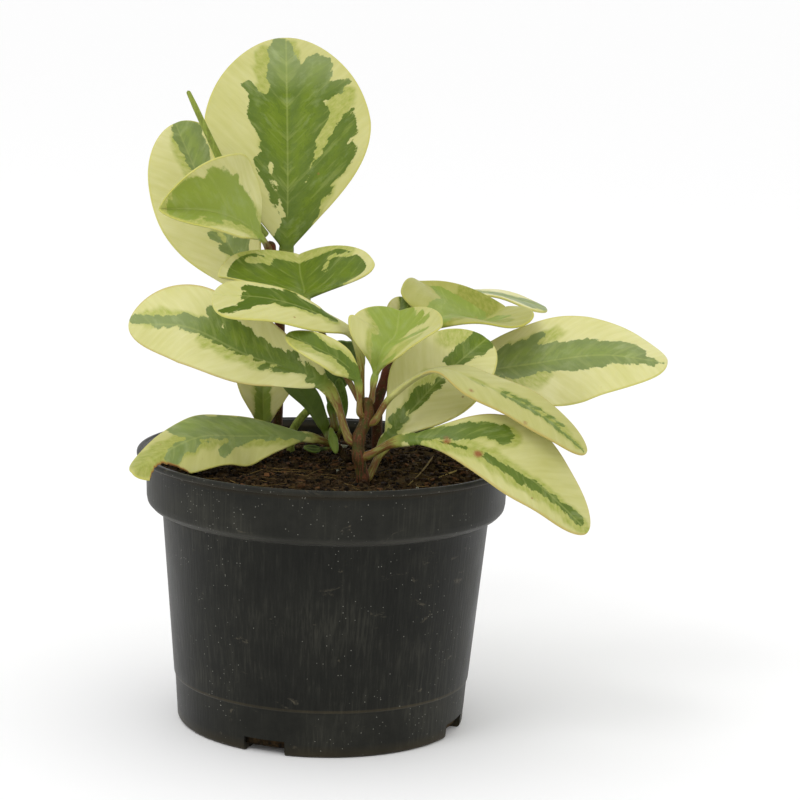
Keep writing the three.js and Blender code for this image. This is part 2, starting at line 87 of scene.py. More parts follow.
# A petiole leaves its stem at a knot of the stem's path ("at"), and the blade follows its own
# path from neck to tip; "lead" is how many of the path's points lie on the petiole, and
# "petiole" its radius where that is not the usual one. "facing" is where the upper face looks at
# the neck and at the tip. "halfWidth" is of the left and the right half, "widest" the place
# along the blade, and "base" and "tip" the powers of its outline on either side of that. "fold"
# is how many degrees each half rises at the neck and at the tip, "curl" how many more it bends
# on by towards the margin. "even" turns the rings towards one direction, from 0 for square to
# the path to 1. "bite" is a torn place in a margin.
LEAVES = {
    "leaf_top": {
        "stem": "stem_tall", "at": 4.9,
        "path": [[-18, 45, 156.5], [-18.2, 46.8, 178.8], [-19.5, 56.2, 203.7], [-21.3, 70, 230.4]],
        "facing": [[0.15, -0.95, 0.3], [0.05, -0.9, 0.4]],
        "halfWidth": [29.5, 29.8], "widest": 0.62, "base": 1.25, "tip": 1.7, "fold": [16, 0], "curl": -4,
    },
    "leaf_top_left": {
        "stem": "stem_tall", "at": 4.3,
        "path": [[-29, 49, 141.5], [-40, 56, 158.5], [-50.5, 63, 178.5], [-60.5, 70, 198.5]],
        "facing": [[-0.2, -0.95, 0.3], [-0.15, -0.9, 0.45]],
        "halfWidth": [20, 17.5], "widest": 0.55, "base": 0.9, "tip": 1.9, "fold": [11, 8], "curl": 3,
    },
    "leaf_young": {
        "stem": "stem_tall", "at": 5.8,
        "path": [[-26.7, 34, 162.2], [-34.5, 27, 168.5], [-45, 18, 172.5], [-60, 8, 173.5]],
        "facing": [[0.05, -0.7, 0.7], [0.15, -0.95, 0.25]],
        "halfWidth": [12.5, 22], "widest": 0.5, "base": 1.1, "tip": 1.8, "fold": [9, 40], "curl": 18,
    },
    "leaf_open_back": {
        "stem": "stem_front", "at": 5.95, "petiole": 1, "lead": 1,
        "path": [[-6, -6, 140.5], [-9.5, 4, 145], [-10, 14, 146.5], [-12, 26, 150.5], [-13, 37, 156]],
        "facing": [[-0.05, -0.5, 0.9], [-0.1, -0.3, 0.95]],
        "halfWidth": [30, 26], "widest": 0.4, "base": 0.9, "tip": 1.9, "fold": [12, 22], "curl": -1,
        "even": 0.3,
    },
    "leaf_mid_left": {
        "stem": "stem_front", "at": 5.2,
        "path": [[9, -9, 133], [-3, -15, 142], [-20, -19, 147.5], [-39, -18, 148]],
        "facing": [[0.2, -0.45, 0.85], [-0.05, -0.4, 0.9]],
        "halfWidth": [13.5, 9.5], "widest": 0.8, "base": 1, "tip": 3.4, "fold": [-7, 2], "curl": 0,
    },
    "leaf_big_left": {  # closer to the photograph than its solid
        "stem": "stem_front", "at": 3.9,
        "path": [[-1.5, -22, 120.5], [-27, -13, 127.5], [-48, -7, 135.5], [-68.4, -3, 135]],
        "facing": [[0.1, -0.95, 0.3], [0.05, -0.95, 0.3]],
        "halfWidth": [12.5, 15], "widest": 0.65, "base": 0.65, "tip": 1.5, "fold": [6, -4], "curl": 0,
    },
    "leaf_mid_front": {
        "stem": "stem_front", "at": 5.3,
        "path": [[10, -27, 122.5], [4.5, -26.2, 128.5], [-4, -26.7, 132.8], [-14, -25, 136.8]],
        "facing": [[0.05, -0.8, 0.6], [0.15, -0.5, 0.85]],
        "halfWidth": [9, 6], "widest": 0.55, "base": 1, "tip": 2.1, "fold": [21, 15], "curl": 2,
    },
    "leaf_rim_left": {  # closer to the photograph than its solid
        "stem": "stem_side", "at": 2.6, "petiole": 1.2,
        "path": [[-7.3, -0.5, 98], [-29, -8, 98.8], [-43.5, -26.5, 101], [-62, -46.4, 93.5]],
        "facing": [[0.15, -0.65, 0.75], [-0.05, -0.65, 0.75]],
        "halfWidth": [13.5, 11.5], "widest": 0.46, "base": 1.25, "tip": 1.9, "fold": [15, -17], "curl": -8,
        "even": 0.5, "bite": {"side": -1, "from": 0.785, "to": 0.95, "depth": 5.2},
    },
    "leaf_low_back": {
        "stem": "stem_tall", "at": 1.4, "petiole": 1,
        "path": [[-23.5, 30, 95], [-24, 27, 107], [-24, 25, 118], [-26, 22, 131]],
        "facing": [[0, -1, 0.2], [0, -0.95, 0.3]],
        "halfWidth": [10, 11.5], "widest": 0.6, "base": 1.1, "tip": 2.2, "fold": [17, 11], "curl": 0,
    },
    "leaf_dark_left": {
        "stem": "stem_side", "at": 3.1,
        "path": [[-1.2, 12.5, 98.5], [-7, 9, 109], [-13, 6, 117], [-16.5, 3, 126.5]],
        "facing": [[0.55, 0.75, 0.35], [0.45, 0.8, 0.45]],
        "halfWidth": [6, 7], "widest": 0.6, "base": 0.7, "tip": 2.2, "fold": [8, 5], "curl": 2,
    },
    "leaf_dark_right": {
        "stem": "stem_side", "at": 3.9,
        "path": [[1, 7, 107.5], [2, 3, 117], [5, 0, 123], [5.5, -3, 132]],
        "facing": [[-0.1, 0.95, 0.2], [-0.1, 0.95, 0.3]],
        "halfWidth": [8, 9], "widest": 0.6, "base": 1.2, "tip": 2.2, "fold": [18, 17], "curl": 15,
        "even": 0.5,
    },
    "leaf_dark_small": {
        "stem": "stem_side", "at": 3, "petiole": 0.8,
        "path": [[4.6, 2.2, 102], [4.5, 0.3, 110], [3.3, -1.2, 119]],
        "facing": [[-0.35, -0.9, 0.2], [-0.4, -0.85, 0.3]],
        "halfWidth": [2.5, 2.5], "widest": 0.55, "base": 1.1, "tip": 2.2, "fold": [18, 13], "curl": 3,
    },
    "leaflet_down": {  # closer to the photograph than its solid
        "stem": "stem_side", "at": 3.6, "petiole": 0.6,
        "path": [[0.9, 4.5, 100], [1.6, 1.2, 97.6], [2.5, -1.8, 95], [3.1, -3.4, 93.2]],
        "facing": [[0, -0.8, 0.6], [0, -0.8, 0.6]],
        "halfWidth": [1.7, 1.7], "widest": 0.4, "base": 1, "tip": 1.2, "fold": [5, 5], "curl": 0,
    },
    "leaflet_low": {  # closer to the photograph than its solid
        "stem": "stem_side", "at": 2.4, "petiole": 0.6,
        "path": [[-1.5, -1.5, 94.4], [-4.5, -3.5, 94.6], [-8, -5, 95.4]],
        "facing": [[0, -0.8, 0.6], [0, -0.8, 0.6]],
        "halfWidth": [1.6, 1.6], "widest": 0.5, "base": 1, "tip": 2, "fold": [5, 5], "curl": 0,
    },
    "leaf_cup": {
        "stem": "stem_front", "at": 5.9,
        "path": [[15.5, -18.5, 122], [17.9, -20.4, 132.1], [21.9, -14.5, 136.1], [23.1, -6.2, 143.5]],
        "facing": [[-0.4, -0.75, 0.55], [-0.25, -0.85, 0.55]],
        "halfWidth": [17.5, 23.5], "widest": 0.54, "base": 2.2, "tip": 2.2, "fold": [24, 24], "curl": 16,
        "even": 0.5,
    },
    "leaf_cream": {
        "stem": "stem_front", "at": 1.85,
        "path": [[20.5, -22, 102], [30, -16, 113.5], [40.5, -9, 124], [53, 0, 134]],
        "facing": [[-0.25, -0.9, 0.3], [-0.3, -0.85, 0.45]],
        "halfWidth": [16.5, 16], "widest": 0.55, "base": 1.2, "tip": 2, "fold": [13, 7], "curl": 0,
    },
    "leaf_right_cup": {
        "stem": "stem_back", "at": 4.8,
        "path": [[34, 5.6, 136.5], [40.2, 14.1, 139.4], [51.4, 25, 136.3], [60.5, 38, 139.7]],
        "facing": [[0.15, -0.15, 0.95], [-0.05, -0.25, 0.95]],
        "halfWidth": [31.5, 20.5], "widest": 0.61, "base": 1.1, "tip": 2.25, "fold": [4.5, 19.5],
        "curl": -3.5, "even": 0.5,
    },
    "leaf_right_edge": {
        "stem": "stem_back", "at": 4.7,
        "path": [[42.5, 50, 140], [53, 52, 142.5], [65.5, 54, 140], [76, 56, 137]],
        "facing": [[-0.15, 0, 1], [0, -0.15, 1]],
        "halfWidth": [9.5, 10], "widest": 0.55, "base": 1.1, "tip": 2.3, "fold": [5, 1], "curl": -1,
        "even": 0.5,
    },
    "leaf_far_right": {  # closer to the photograph than its solid
        "stem": "stem_back", "at": 4.2,
        "path": [[42.5, 20, 118], [67, 18, 122.5], [92.5, 13, 127.5], [115.4, 8, 126.3]],
        "facing": [[-0.05, -0.9, 0.5], [0.25, -0.55, 0.8]],
        "halfWidth": [19, 18.5], "widest": 0.6, "base": 0.8, "tip": 1.25, "fold": [6, -6], "curl": -7,
    },
    "leaf_arching": {
        "stem": "stem_front", "at": 5,
        "path": [[22, -27, 118.5], [35.5, -28, 127.5], [50.5, -31, 123.5], [70.5, -35, 114.5],
            [85.5, -38, 103]],
        "facing": [[-0.75, 0.25, 0.6], [0.5, -0.55, 0.7]],
        "halfWidth": [10, 10], "widest": 0.5, "base": 1.1, "tip": 2.1, "fold": [0, 3], "curl": -7,
    },
    "leaf_rim_right": {
        "stem": "stem_front", "at": 3,
        "path": [[27, -35, 105], [49, -43, 104.5], [68, -47, 95], [86.5, -48, 79]],
        "facing": [[-0.05, -0.75, 0.65], [0.5, -0.6, 0.6]],
        "halfWidth": [18, 11], "widest": 0.55, "base": 1.4, "tip": 1.7, "fold": [11, -4], "curl": 1,
    },
    "leaf_behind_cup": {
        "stem": "stem_back", "at": 4.9,
        "path": [[23.2, 23, 129.5], [23.5, 24, 134], [23, 26, 139], [23.5, 29, 143.5]],
        "facing": [[0, -0.9, 0.4], [0, -0.85, 0.55]],
        "halfWidth": [5, 5], "widest": 0.5, "base": 1.1, "tip": 2.1, "fold": [11, 6], "curl": 1,
    },
}

# ---------------------------------------------------------------- variegation
# Each stroke is (place, across, place, across, width, width): from one point of the blade to
# another, place 0 at the neck and 1 at the tip, across -1 at the left margin and 1 at the
# right one, with its half width in millimetres at each end. Strokes of "green" add up, those of
# "gap" are taken out again, and "pale" is the lighter green round them. "hem" is how many
# millimetres the green keeps away from the margin. "scar" is a healed wound: (place, across,
# size in millimetres).

PATTERNS = {
    "leaf_top": {
        "green": [(0.02, 0, 0.85, -0.02, 1.4, 6), (0.82, -0.08, 0.94, -0.12, 5.5, 4.5),
            (0.3, -0.12, 0.62, -0.16, 4.5, 8.5), (0.58, -0.25, 0.76, -0.5, 4.5, 1.8),
            (0.14, -0.14, 0.4, -0.42, 2, 2.2), (0.5, 0.1, 0.84, 0.46, 4.5, 6),
            (0.72, 0.5, 0.78, 0.84, 3, 1.4), (0.06, 0.2, 0.56, 0.74, 5.4, 3.4),
            (0.12, 0.45, 0.46, 0.86, 3.4, 2.4), (0.56, 0.7, 0.64, 0.78, 2.6, 1.5),
            (0.3, 0.06, 0.62, 0.26, 4.5, 6.5)],
        "gap": [(0.44, 0.38, 0.66, 0.7, 0.1, 1.2), (0.16, -0.2, 0.38, -0.3, 0.3, 0.7)],
        "pale": [(0.5, -0.2, 0.9, -0.36, 6, 5), (0.35, 0.4, 0.7, 0.7, 5, 5), (0.1, 0.6, 0.4, 0.8, 5, 3),
            (0.8, 0.1, 0.95, 0.1, 4, 3)],
    },
    "leaf_top_left": {
        "green": [(0.02, 0.05, 0.5, 0.15, 1, 3), (0.4, 0.2, 0.94, 0.3, 3, 5.5),
            (0.82, 0.05, 0.95, -0.16, 2, 1.4), (0.2, 0, 0.36, -0.22, 1.8, 1.4),
            (0.15, 0.3, 0.4, 0.6, 2.5, 3), (0.55, 0, 0.7, 0.1, 1.2, 2)],
        "pale": [(0.1, 0, 0.9, 0.1, 3, 6)],
    },
    "leaf_young": {
        "hem": 1.2,
        "green": [(0.02, 0, 0.95, 0.06, 1.8, 4), (0.2, 0.2, 0.8, 0.42, 5.5, 6),
            (0.3, 0.5, 0.62, 0.62, 3, 3.4), (0.08, 0.25, 0.4, 0.62, 2.4, 2.4),
            (0.25, -0.15, 0.94, -0.4, 2, 3.6), (0.5, -0.45, 0.9, -0.62, 1.4, 2)],
        "gap": [(0.36, 0.66, 0.46, 0.9, 0.6, 1.2)],
        "pale": [(0.1, 0, 0.9, 0.3, 8, 11), (0.1, -0.3, 0.8, -0.7, 4, 4)],
    },
    "leaf_open_back": {
        "hem": 3,
        "green": [(0.03, 0, 0.9, -0.03, 3, 8), (0.12, -0.35, 0.72, -0.45, 9, 10),
            (0.15, 0.35, 0.74, 0.45, 8, 9), (0.3, -0.68, 0.55, -0.72, 7, 6),
            (0.4, -0.84, 0.5, -0.84, 3.4, 3.4), (0.3, 0.68, 0.55, 0.72, 6.5, 6),
            (0.42, 0.85, 0.5, 0.85, 3, 3)],
        "gap": [(0.4, 0.3, 0.62, 0.42, 0.1, 0.8), (0.78, -0.5, 0.7, -0.72, 2.2, 1.8),
            (0.82, -0.55, 0.92, -0.75, 2.4, 2.6), (0.74, 0.52, 0.64, 0.8, 0.6, 1.2),
            (0.64, 0.8, 0.6, 0.98, 1.2, 1.4)],
        "pale": [(0.1, 0.3, 0.8, 0.5, 12, 12), (0.2, -0.3, 0.8, -0.5, 12, 12)],
    },
    "leaf_mid_left": {
        "green": [(0.2, 0.3, 0.6, 0.35, 1.5, 4.2), (0.46, 0.3, 0.76, 0, 3.4, 3.8),
            (0.68, -0.15, 0.8, -0.42, 2.6, 2), (0.77, -0.5, 0.92, -0.82, 1.5, 1.3),
            (0.5, 0.6, 0.8, 0.5, 3, 2)],
        "pale": [(0.2, 0.1, 0.7, 0.2, 2.5, 5.5)],
    },
    "leaf_big_left": {
        "green": [(0.02, 0.02, 0.5, 0.28, 1.4, 4), (0.15, 0.2, 0.62, 0.56, 3, 2.6),
            (0.4, 0.2, 0.97, 0.27, 3.6, 1.3), (0.5, 0.05, 0.86, 0.08, 2.4, 1.7),
            (0.16, -0.05, 0.3, -0.22, 1.2, 1.1)],
        "pale": [(0.1, 0.1, 0.9, 0.25, 2.5, 3.5), (0.2, 0.02, 0.6, 0, 3.4, 4.6)],
    },
    "leaf_mid_front": {
        "green": [(0.03, 0.3, 0.95, 0.6, 1.2, 3.4), (0.25, 0.1, 0.5, -0.1, 0.8, 0.7)],
        "pale": [(0.05, 0, 0.95, -0.2, 4, 7)],
    },
    "leaf_rim_left": {
        "green": [(0.01, 0.05, 0.2, 0.35, 1.3, 4), (0.18, 0.4, 0.6, 0.66, 5.4, 6.5),
            (0.1, -0.03, 0.52, 0.1, 1.8, 3.4), (0.3, -0.12, 0.52, -0.58, 1.8, 2),
            (0.5, 0.05, 0.8, -0.26, 3, 2.6)],
        "gap": [(0.46, -0.2, 0.6, -0.12, 0.2, 0.5)],
        "pale": [(0.1, 0, 0.92, 0, 5, 6), (0.5, 0, 0.96, -0.3, 6, 3)],
    },
    "leaf_low_back": {
        "green": [(0.02, 0, 0.9, 0, 2, 4.6), (0.3, 0.1, 0.7, 0.35, 1.5, 1.5)],
        "pale": [(0.1, -0.6, 0.8, -0.55, 1.5, 1.8), (0.1, 0, 0.9, 0.05, 3, 4)],
    },
    "leaf_dark_left": {"green": [(0, 0, 1, 0, 12, 12)], "pale": []},
    "leaf_dark_right": {"green": [(0, 0, 1, 0, 14, 14)], "pale": []},
    "leaf_dark_small": {"green": [(0, 0, 1, 0, 8, 8)], "pale": []},
    "leaflet_down": {"green": [(0, 0, 1, 0, 1.2, 1.2)], "pale": [(0, 0, 1, 0, 4, 4)]},
    "leaflet_low": {"green": [(0, 0, 1, 0, 6, 6)], "pale": []},
    "leaf_cup": {
        "green": [(0.02, 0, 0.92, -0.05, 1.6, 6), (0.36, -0.15, 0.9, -0.58, 2, 4.2),
            (0.3, 0.12, 0.9, 0.32, 2.6, 3.6), (0.7, 0.3, 0.84, 0.56, 1.8, 1.4),
            (0.15, 0.4, 0.3, 0.7, 1.5, 1.2), (0.5, 0.25, 0.62, 0.66, 1.6, 0.7),
            (0.68, 0.3, 0.78, 0.72, 1.6, 0.8)],
        "pale": [(0.1, 0, 0.9, -0.1, 5, 8), (0.3, -0.3, 0.85, -0.7, 3, 3), (0.1, 0.4, 0.5, 0.6, 3, 2)],
    },
    "leaf_cream": {
        "green": [(0.02, -0.2, 0.52, 0.05, 1, 1.7), (0.14, -0.42, 0.44, -0.12, 2.2, 1.8),
            (0.7, -0.1, 0.97, -0.05, 3, 5), (0.8, -0.1, 0.88, 0.25, 3.2, 2.4)],
        "pale": [(0.05, -0.3, 0.5, -0.15, 3, 4), (0.8, -0.7, 0.98, -0.5, 4, 4)],
    },
    "leaf_right_cup": {
        "hem": 5,
        "green": [(0.04, 0, 0.88, -0.34, 1.6, 7.5), (0.3, -0.28, 0.84, -0.6, 5, 4.5),
            (0.1, 0.12, 0.5, 0.4, 1.6, 3), (0.5, 0.25, 0.8, 0.3, 2.5, 3), (0.6, -0.5, 0.8, -0.84, 5, 6)],
        "gap": [(0.6, -0.05, 0.95, -0.04, 0.4, 1)],
        "pale": [(0.05, 0, 0.85, -0.35, 5, 9), (0.1, 0.2, 0.6, 0.5, 4, 4)],
    },
    "leaf_right_edge": {
        "green": [(0.05, 0, 0.9, 0.1, 2, 5), (0.4, 0.3, 0.8, 0.55, 2.5, 2)],
        "pale": [(0.1, 0, 0.9, 0.2, 4, 6)],
    },
    "leaf_far_right": {
        "green": [(0.05, -0.05, 0.35, -0.25, 2, 6), (0.28, -0.14, 0.84, -0.1, 6.4, 4.8),
            (0.3, -0.3, 0.42, -0.6, 3, 1.8), (0.6, -0.2, 0.82, -0.42, 3.4, 2.2),
            (0.82, 0.06, 0.98, 0.12, 2.8, 1.1), (0.4, 0.1, 0.7, 0.22, 2, 2.4)],
        "pale": [(0.08, 0.1, 0.4, 0.35, 4, 4.5), (0.3, -0.4, 0.5, -0.6, 4, 3)],
    },
    "leaf_arching": {
        "green": [(0.45, 0.12, 0.98, 0.16, 0.5, 1.3), (0.5, -0.1, 0.84, -0.26, 0.5, 0.6),
            (0.62, 0, 0.8, 0.1, 0.7, 0.9)],
        "pale": [(0.4, 0, 0.95, 0.1, 1.6, 2.4), (0.5, -0.2, 0.9, -0.3, 1, 1)],
        "scar": [(0.42, 0.72, 1.1), (0.7, 0.86, 1)],
    },
    "leaf_rim_right": {
        "green": [(0.01, -0.2, 0.13, -0.38, 0.8, 2.2), (0.1, -0.36, 0.41, -0.5, 2.2, 3.4),
            (0.05, 0.06, 0.3, 0.2, 0.2, 0.4), (0.38, 0.24, 0.6, 0.24, 0.8, 2),
            (0.58, 0.22, 0.93, -0.12, 2, 1.6)],
        "pale": [(0.08, -0.3, 0.45, -0.5, 3, 4.2), (0.1, 0.12, 0.6, 0.28, 3.6, 4.6),
            (0.6, 0.2, 0.95, 0, 4.4, 3.6)],
        "scar": [(0.365, 0.24, 1.9), (0.2, 0.02, 1.7), (0.19, -0.15, 1)],
    },
    "leaf_behind_cup": {"green": [(0.1, 0.5, 0.95, 0.6, 1, 2.2)], "pale": [(0.1, 0.4, 0.9, 0.4, 2, 3)]},
}

# ---------------------------------------------------------------- shapes in numpy


def unit(vectors):
    """Each vector divided by its own length."""
    vectors = np.asarray(vectors, float)
    return vectors / np.linalg.norm(vectors, axis=-1, keepdims=True)


def smooth(value, low, high):
    """3x^2 - 2x^3 of where the value lies between low and high, 0 below and 1 above."""
    x = np.clip((np.asarray(value, float) - low) / (high - low), 0, 1)
    return x * x * (3 - 2 * x)


def curve_at(points, knot):
    """Positions and unit tangents of the Catmull-Rom curve through the points.

    Between two points it is the cubic that starts and ends there with half the step between
    their neighbours as its slope; at the two ends the slope is the last step itself.
    """
    points = np.asarray(points, float)
    knot = np.clip(np.asarray(knot, float), 0, len(points) - 1)
    left = np.minimum(knot.astype(int), len(points) - 2)
    f = (knot - left)[:, None]
    slope = np.gradient(points, axis=0)
    a, b, ma, mb = points[left], points[left + 1], slope[left], slope[left + 1]
    place = (
        a * (2 * f**3 - 3 * f**2 + 1) + ma * (f**3 - 2 * f**2 + f)
        + b * (3 * f**2 - 2 * f**3) + mb * (f**3 - f**2)
    )
    run = (
        a * (6 * f**2 - 6 * f) + ma * (3 * f**2 - 4 * f + 1)
        + b * (6 * f - 6 * f**2) + mb * (3 * f**2 - 2 * f)
    )
    return place, unit(run)


def lattice_noise(x, y, seed):
    """Value noise from -1 to 1: seeded random values at whole coordinates, eased in between."""
    values = np.random.default_rng(seed).uniform(-1, 1, (64, 64))
    ix, iy = np.floor(x).astype(int), np.floor(y).astype(int)
    fx, fy = smooth(x - ix, 0, 1), smooth(y - iy, 0, 1)
    near = values[ix % 64, iy % 64] * (1 - fx) + values[(ix + 1) % 64, iy % 64] * fx
    far = values[ix % 64, (iy + 1) % 64] * (1 - fx) + values[(ix + 1) % 64, (iy + 1) % 64] * fx
    return near * (1 - fy) + far * fy


def grid_quads(rows, columns):
    """Quads between neighbouring rings of points, whose last column joins the first."""
    row, column = np.meshgrid(np.arange(rows - 1), np.arange(columns), indexing="ij")
    a = row * columns + column
    b = row * columns + (column + 1) % columns
    return np.stack([a, b, b + columns, a + columns], -1).reshape(-1, 4)


def closed_rings(rings, first, last):
    """Points, quads and triangles of a tube of rings that a pole closes at each end."""
    rows, columns = rings.shape[:2]
    points = np.concatenate([rings.reshape(-1, 3), [first, last]])
    ring, end = np.arange(columns), (rows - 1) * columns
    after = np.roll(ring, -1)
    pole = np.full(columns, rows * columns)
    fans = np.concatenate([
        np.stack([pole, after, ring], -1), np.stack([end + ring, end + after, pole + 1], -1)
    ])
    return points, grid_quads(rows, columns), fans


def volume(points, triangles):
    """Signed volume inside a closed surface, positive where its faces point outwards."""
    a, b, c = (points[triangles[:, i]] for i in range(3))
    return np.einsum("ij,ij->i", a, np.cross(b, c)).sum() / 6


def piece(name, points, quads, triangles, finish, maps=None, values=None):
    """A smooth-shaded mesh object at the origin, from points in millimetres.

    maps holds UV maps in millimetres, which are kept at a hundredth of that so that a leaf fits
    the unit square. values holds one number for each point.
    """
    fans = np.asarray(triangles, int).reshape(-1, 3)
    closed = np.concatenate([quads[:, [0, 1, 2]], quads[:, [0, 2, 3]], fans])
    if volume(points, closed) < 0:
        quads, fans = quads[:, ::-1], fans[:, ::-1]
    corners = np.concatenate([quads.ravel(), fans.ravel()])
    starts = np.concatenate([np.arange(len(quads)) * 4, len(quads) * 4 + np.arange(len(fans)) * 3])
    mesh = bpy.data.meshes.new(name)
    mesh.vertices.add(len(points))
    mesh.vertices.foreach_set("co", (points * MM).astype(np.float32).ravel())
    mesh.loops.add(len(corners))
    mesh.loops.foreach_set("vertex_index", corners.astype(np.int32))
    mesh.polygons.add(len(starts))
    mesh.polygons.foreach_set("loop_start", starts.astype(np.int32))
    mesh.update(calc_edges=True)
    mesh.validate()
    mesh.shade_smooth()
    for key, flat in (maps or {}).items():
        layer = mesh.uv_layers.new(name=key)
        layer.data.foreach_set("uv", (flat[corners] * 0.01).astype(np.float32).ravel())
    for key, numbers in (values or {}).items():
        layer = mesh.attributes.new(key, "FLOAT", "POINT")
        layer.data.foreach_set("value", numbers.astype(np.float32))
    item = bpy.data.objects.new(name, mesh)
    bpy.context.scene.collection.objects.link(item)
    mesh.materials.append(finish)
    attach(item, "root")
    return item


BOX_CORNERS = np.array([[i, j, k] for k in (-1, 1) for j in (-1, 1) for i in (-1, 1)], float)
BOX_FACES = np.array([
    [0, 2, 3, 1], [4, 5, 7, 6], [0, 1, 5, 4], [2, 6, 7, 3], [0, 4, 6, 2], [1, 3, 7, 5]
])

# ---------------------------------------------------------------- finishes

# settings that many nodes share: a mix of two colours, a range with soft ends, a product, and
# the first value times the second plus the third
BLEND = {"out": 2, "data_type": "RGBA"}
EASED = {"interpolation_type": "SMOOTHSTEP"}
TIMES = {"operation": "MULTIPLY"}
SCALE_AND_ADD = {"operation": "MULTIPLY_ADD"}


def colour(text):
    """Linear colour of an sRGB hex value."""
    share = np.array([int(text[i : i + 2], 16) for i in (1, 3, 5)]) / 255
    linear = np.where(share <= 0.04045, share / 12.92, ((share + 0.055) / 1.055) ** 2.4)
    return (*(float(v) for v in linear), 1.0)


def add(tree, kind, values=(), out=0, **settings):
    """Adds a node with its settings, values and links, and returns one of its outputs.

    kind is the node's type without the word ShaderNode. The values go to its inputs, either in
    their order or by key, and a value that is another node's output is linked.
    """
    made = tree.nodes.new("ShaderNode" + kind)
    for key, value in settings.items():
        setattr(made, key, value)
    for key, value in values.items() if isinstance(values, dict) else enumerate(values):
        if isinstance(value, bpy.types.NodeSocket):
            tree.links.new(value, made.inputs[key])
        else:
            made.inputs[key].default_value = value
    return made.outputs[out] if made.outputs else None


def new_material(name):
    """An empty node material, and what adds a node to it."""
    made = bpy.data.materials.new(name)
    made.use_nodes = True
    made.node_tree.nodes.clear()
    return made, functools.partial(add, made.node_tree)


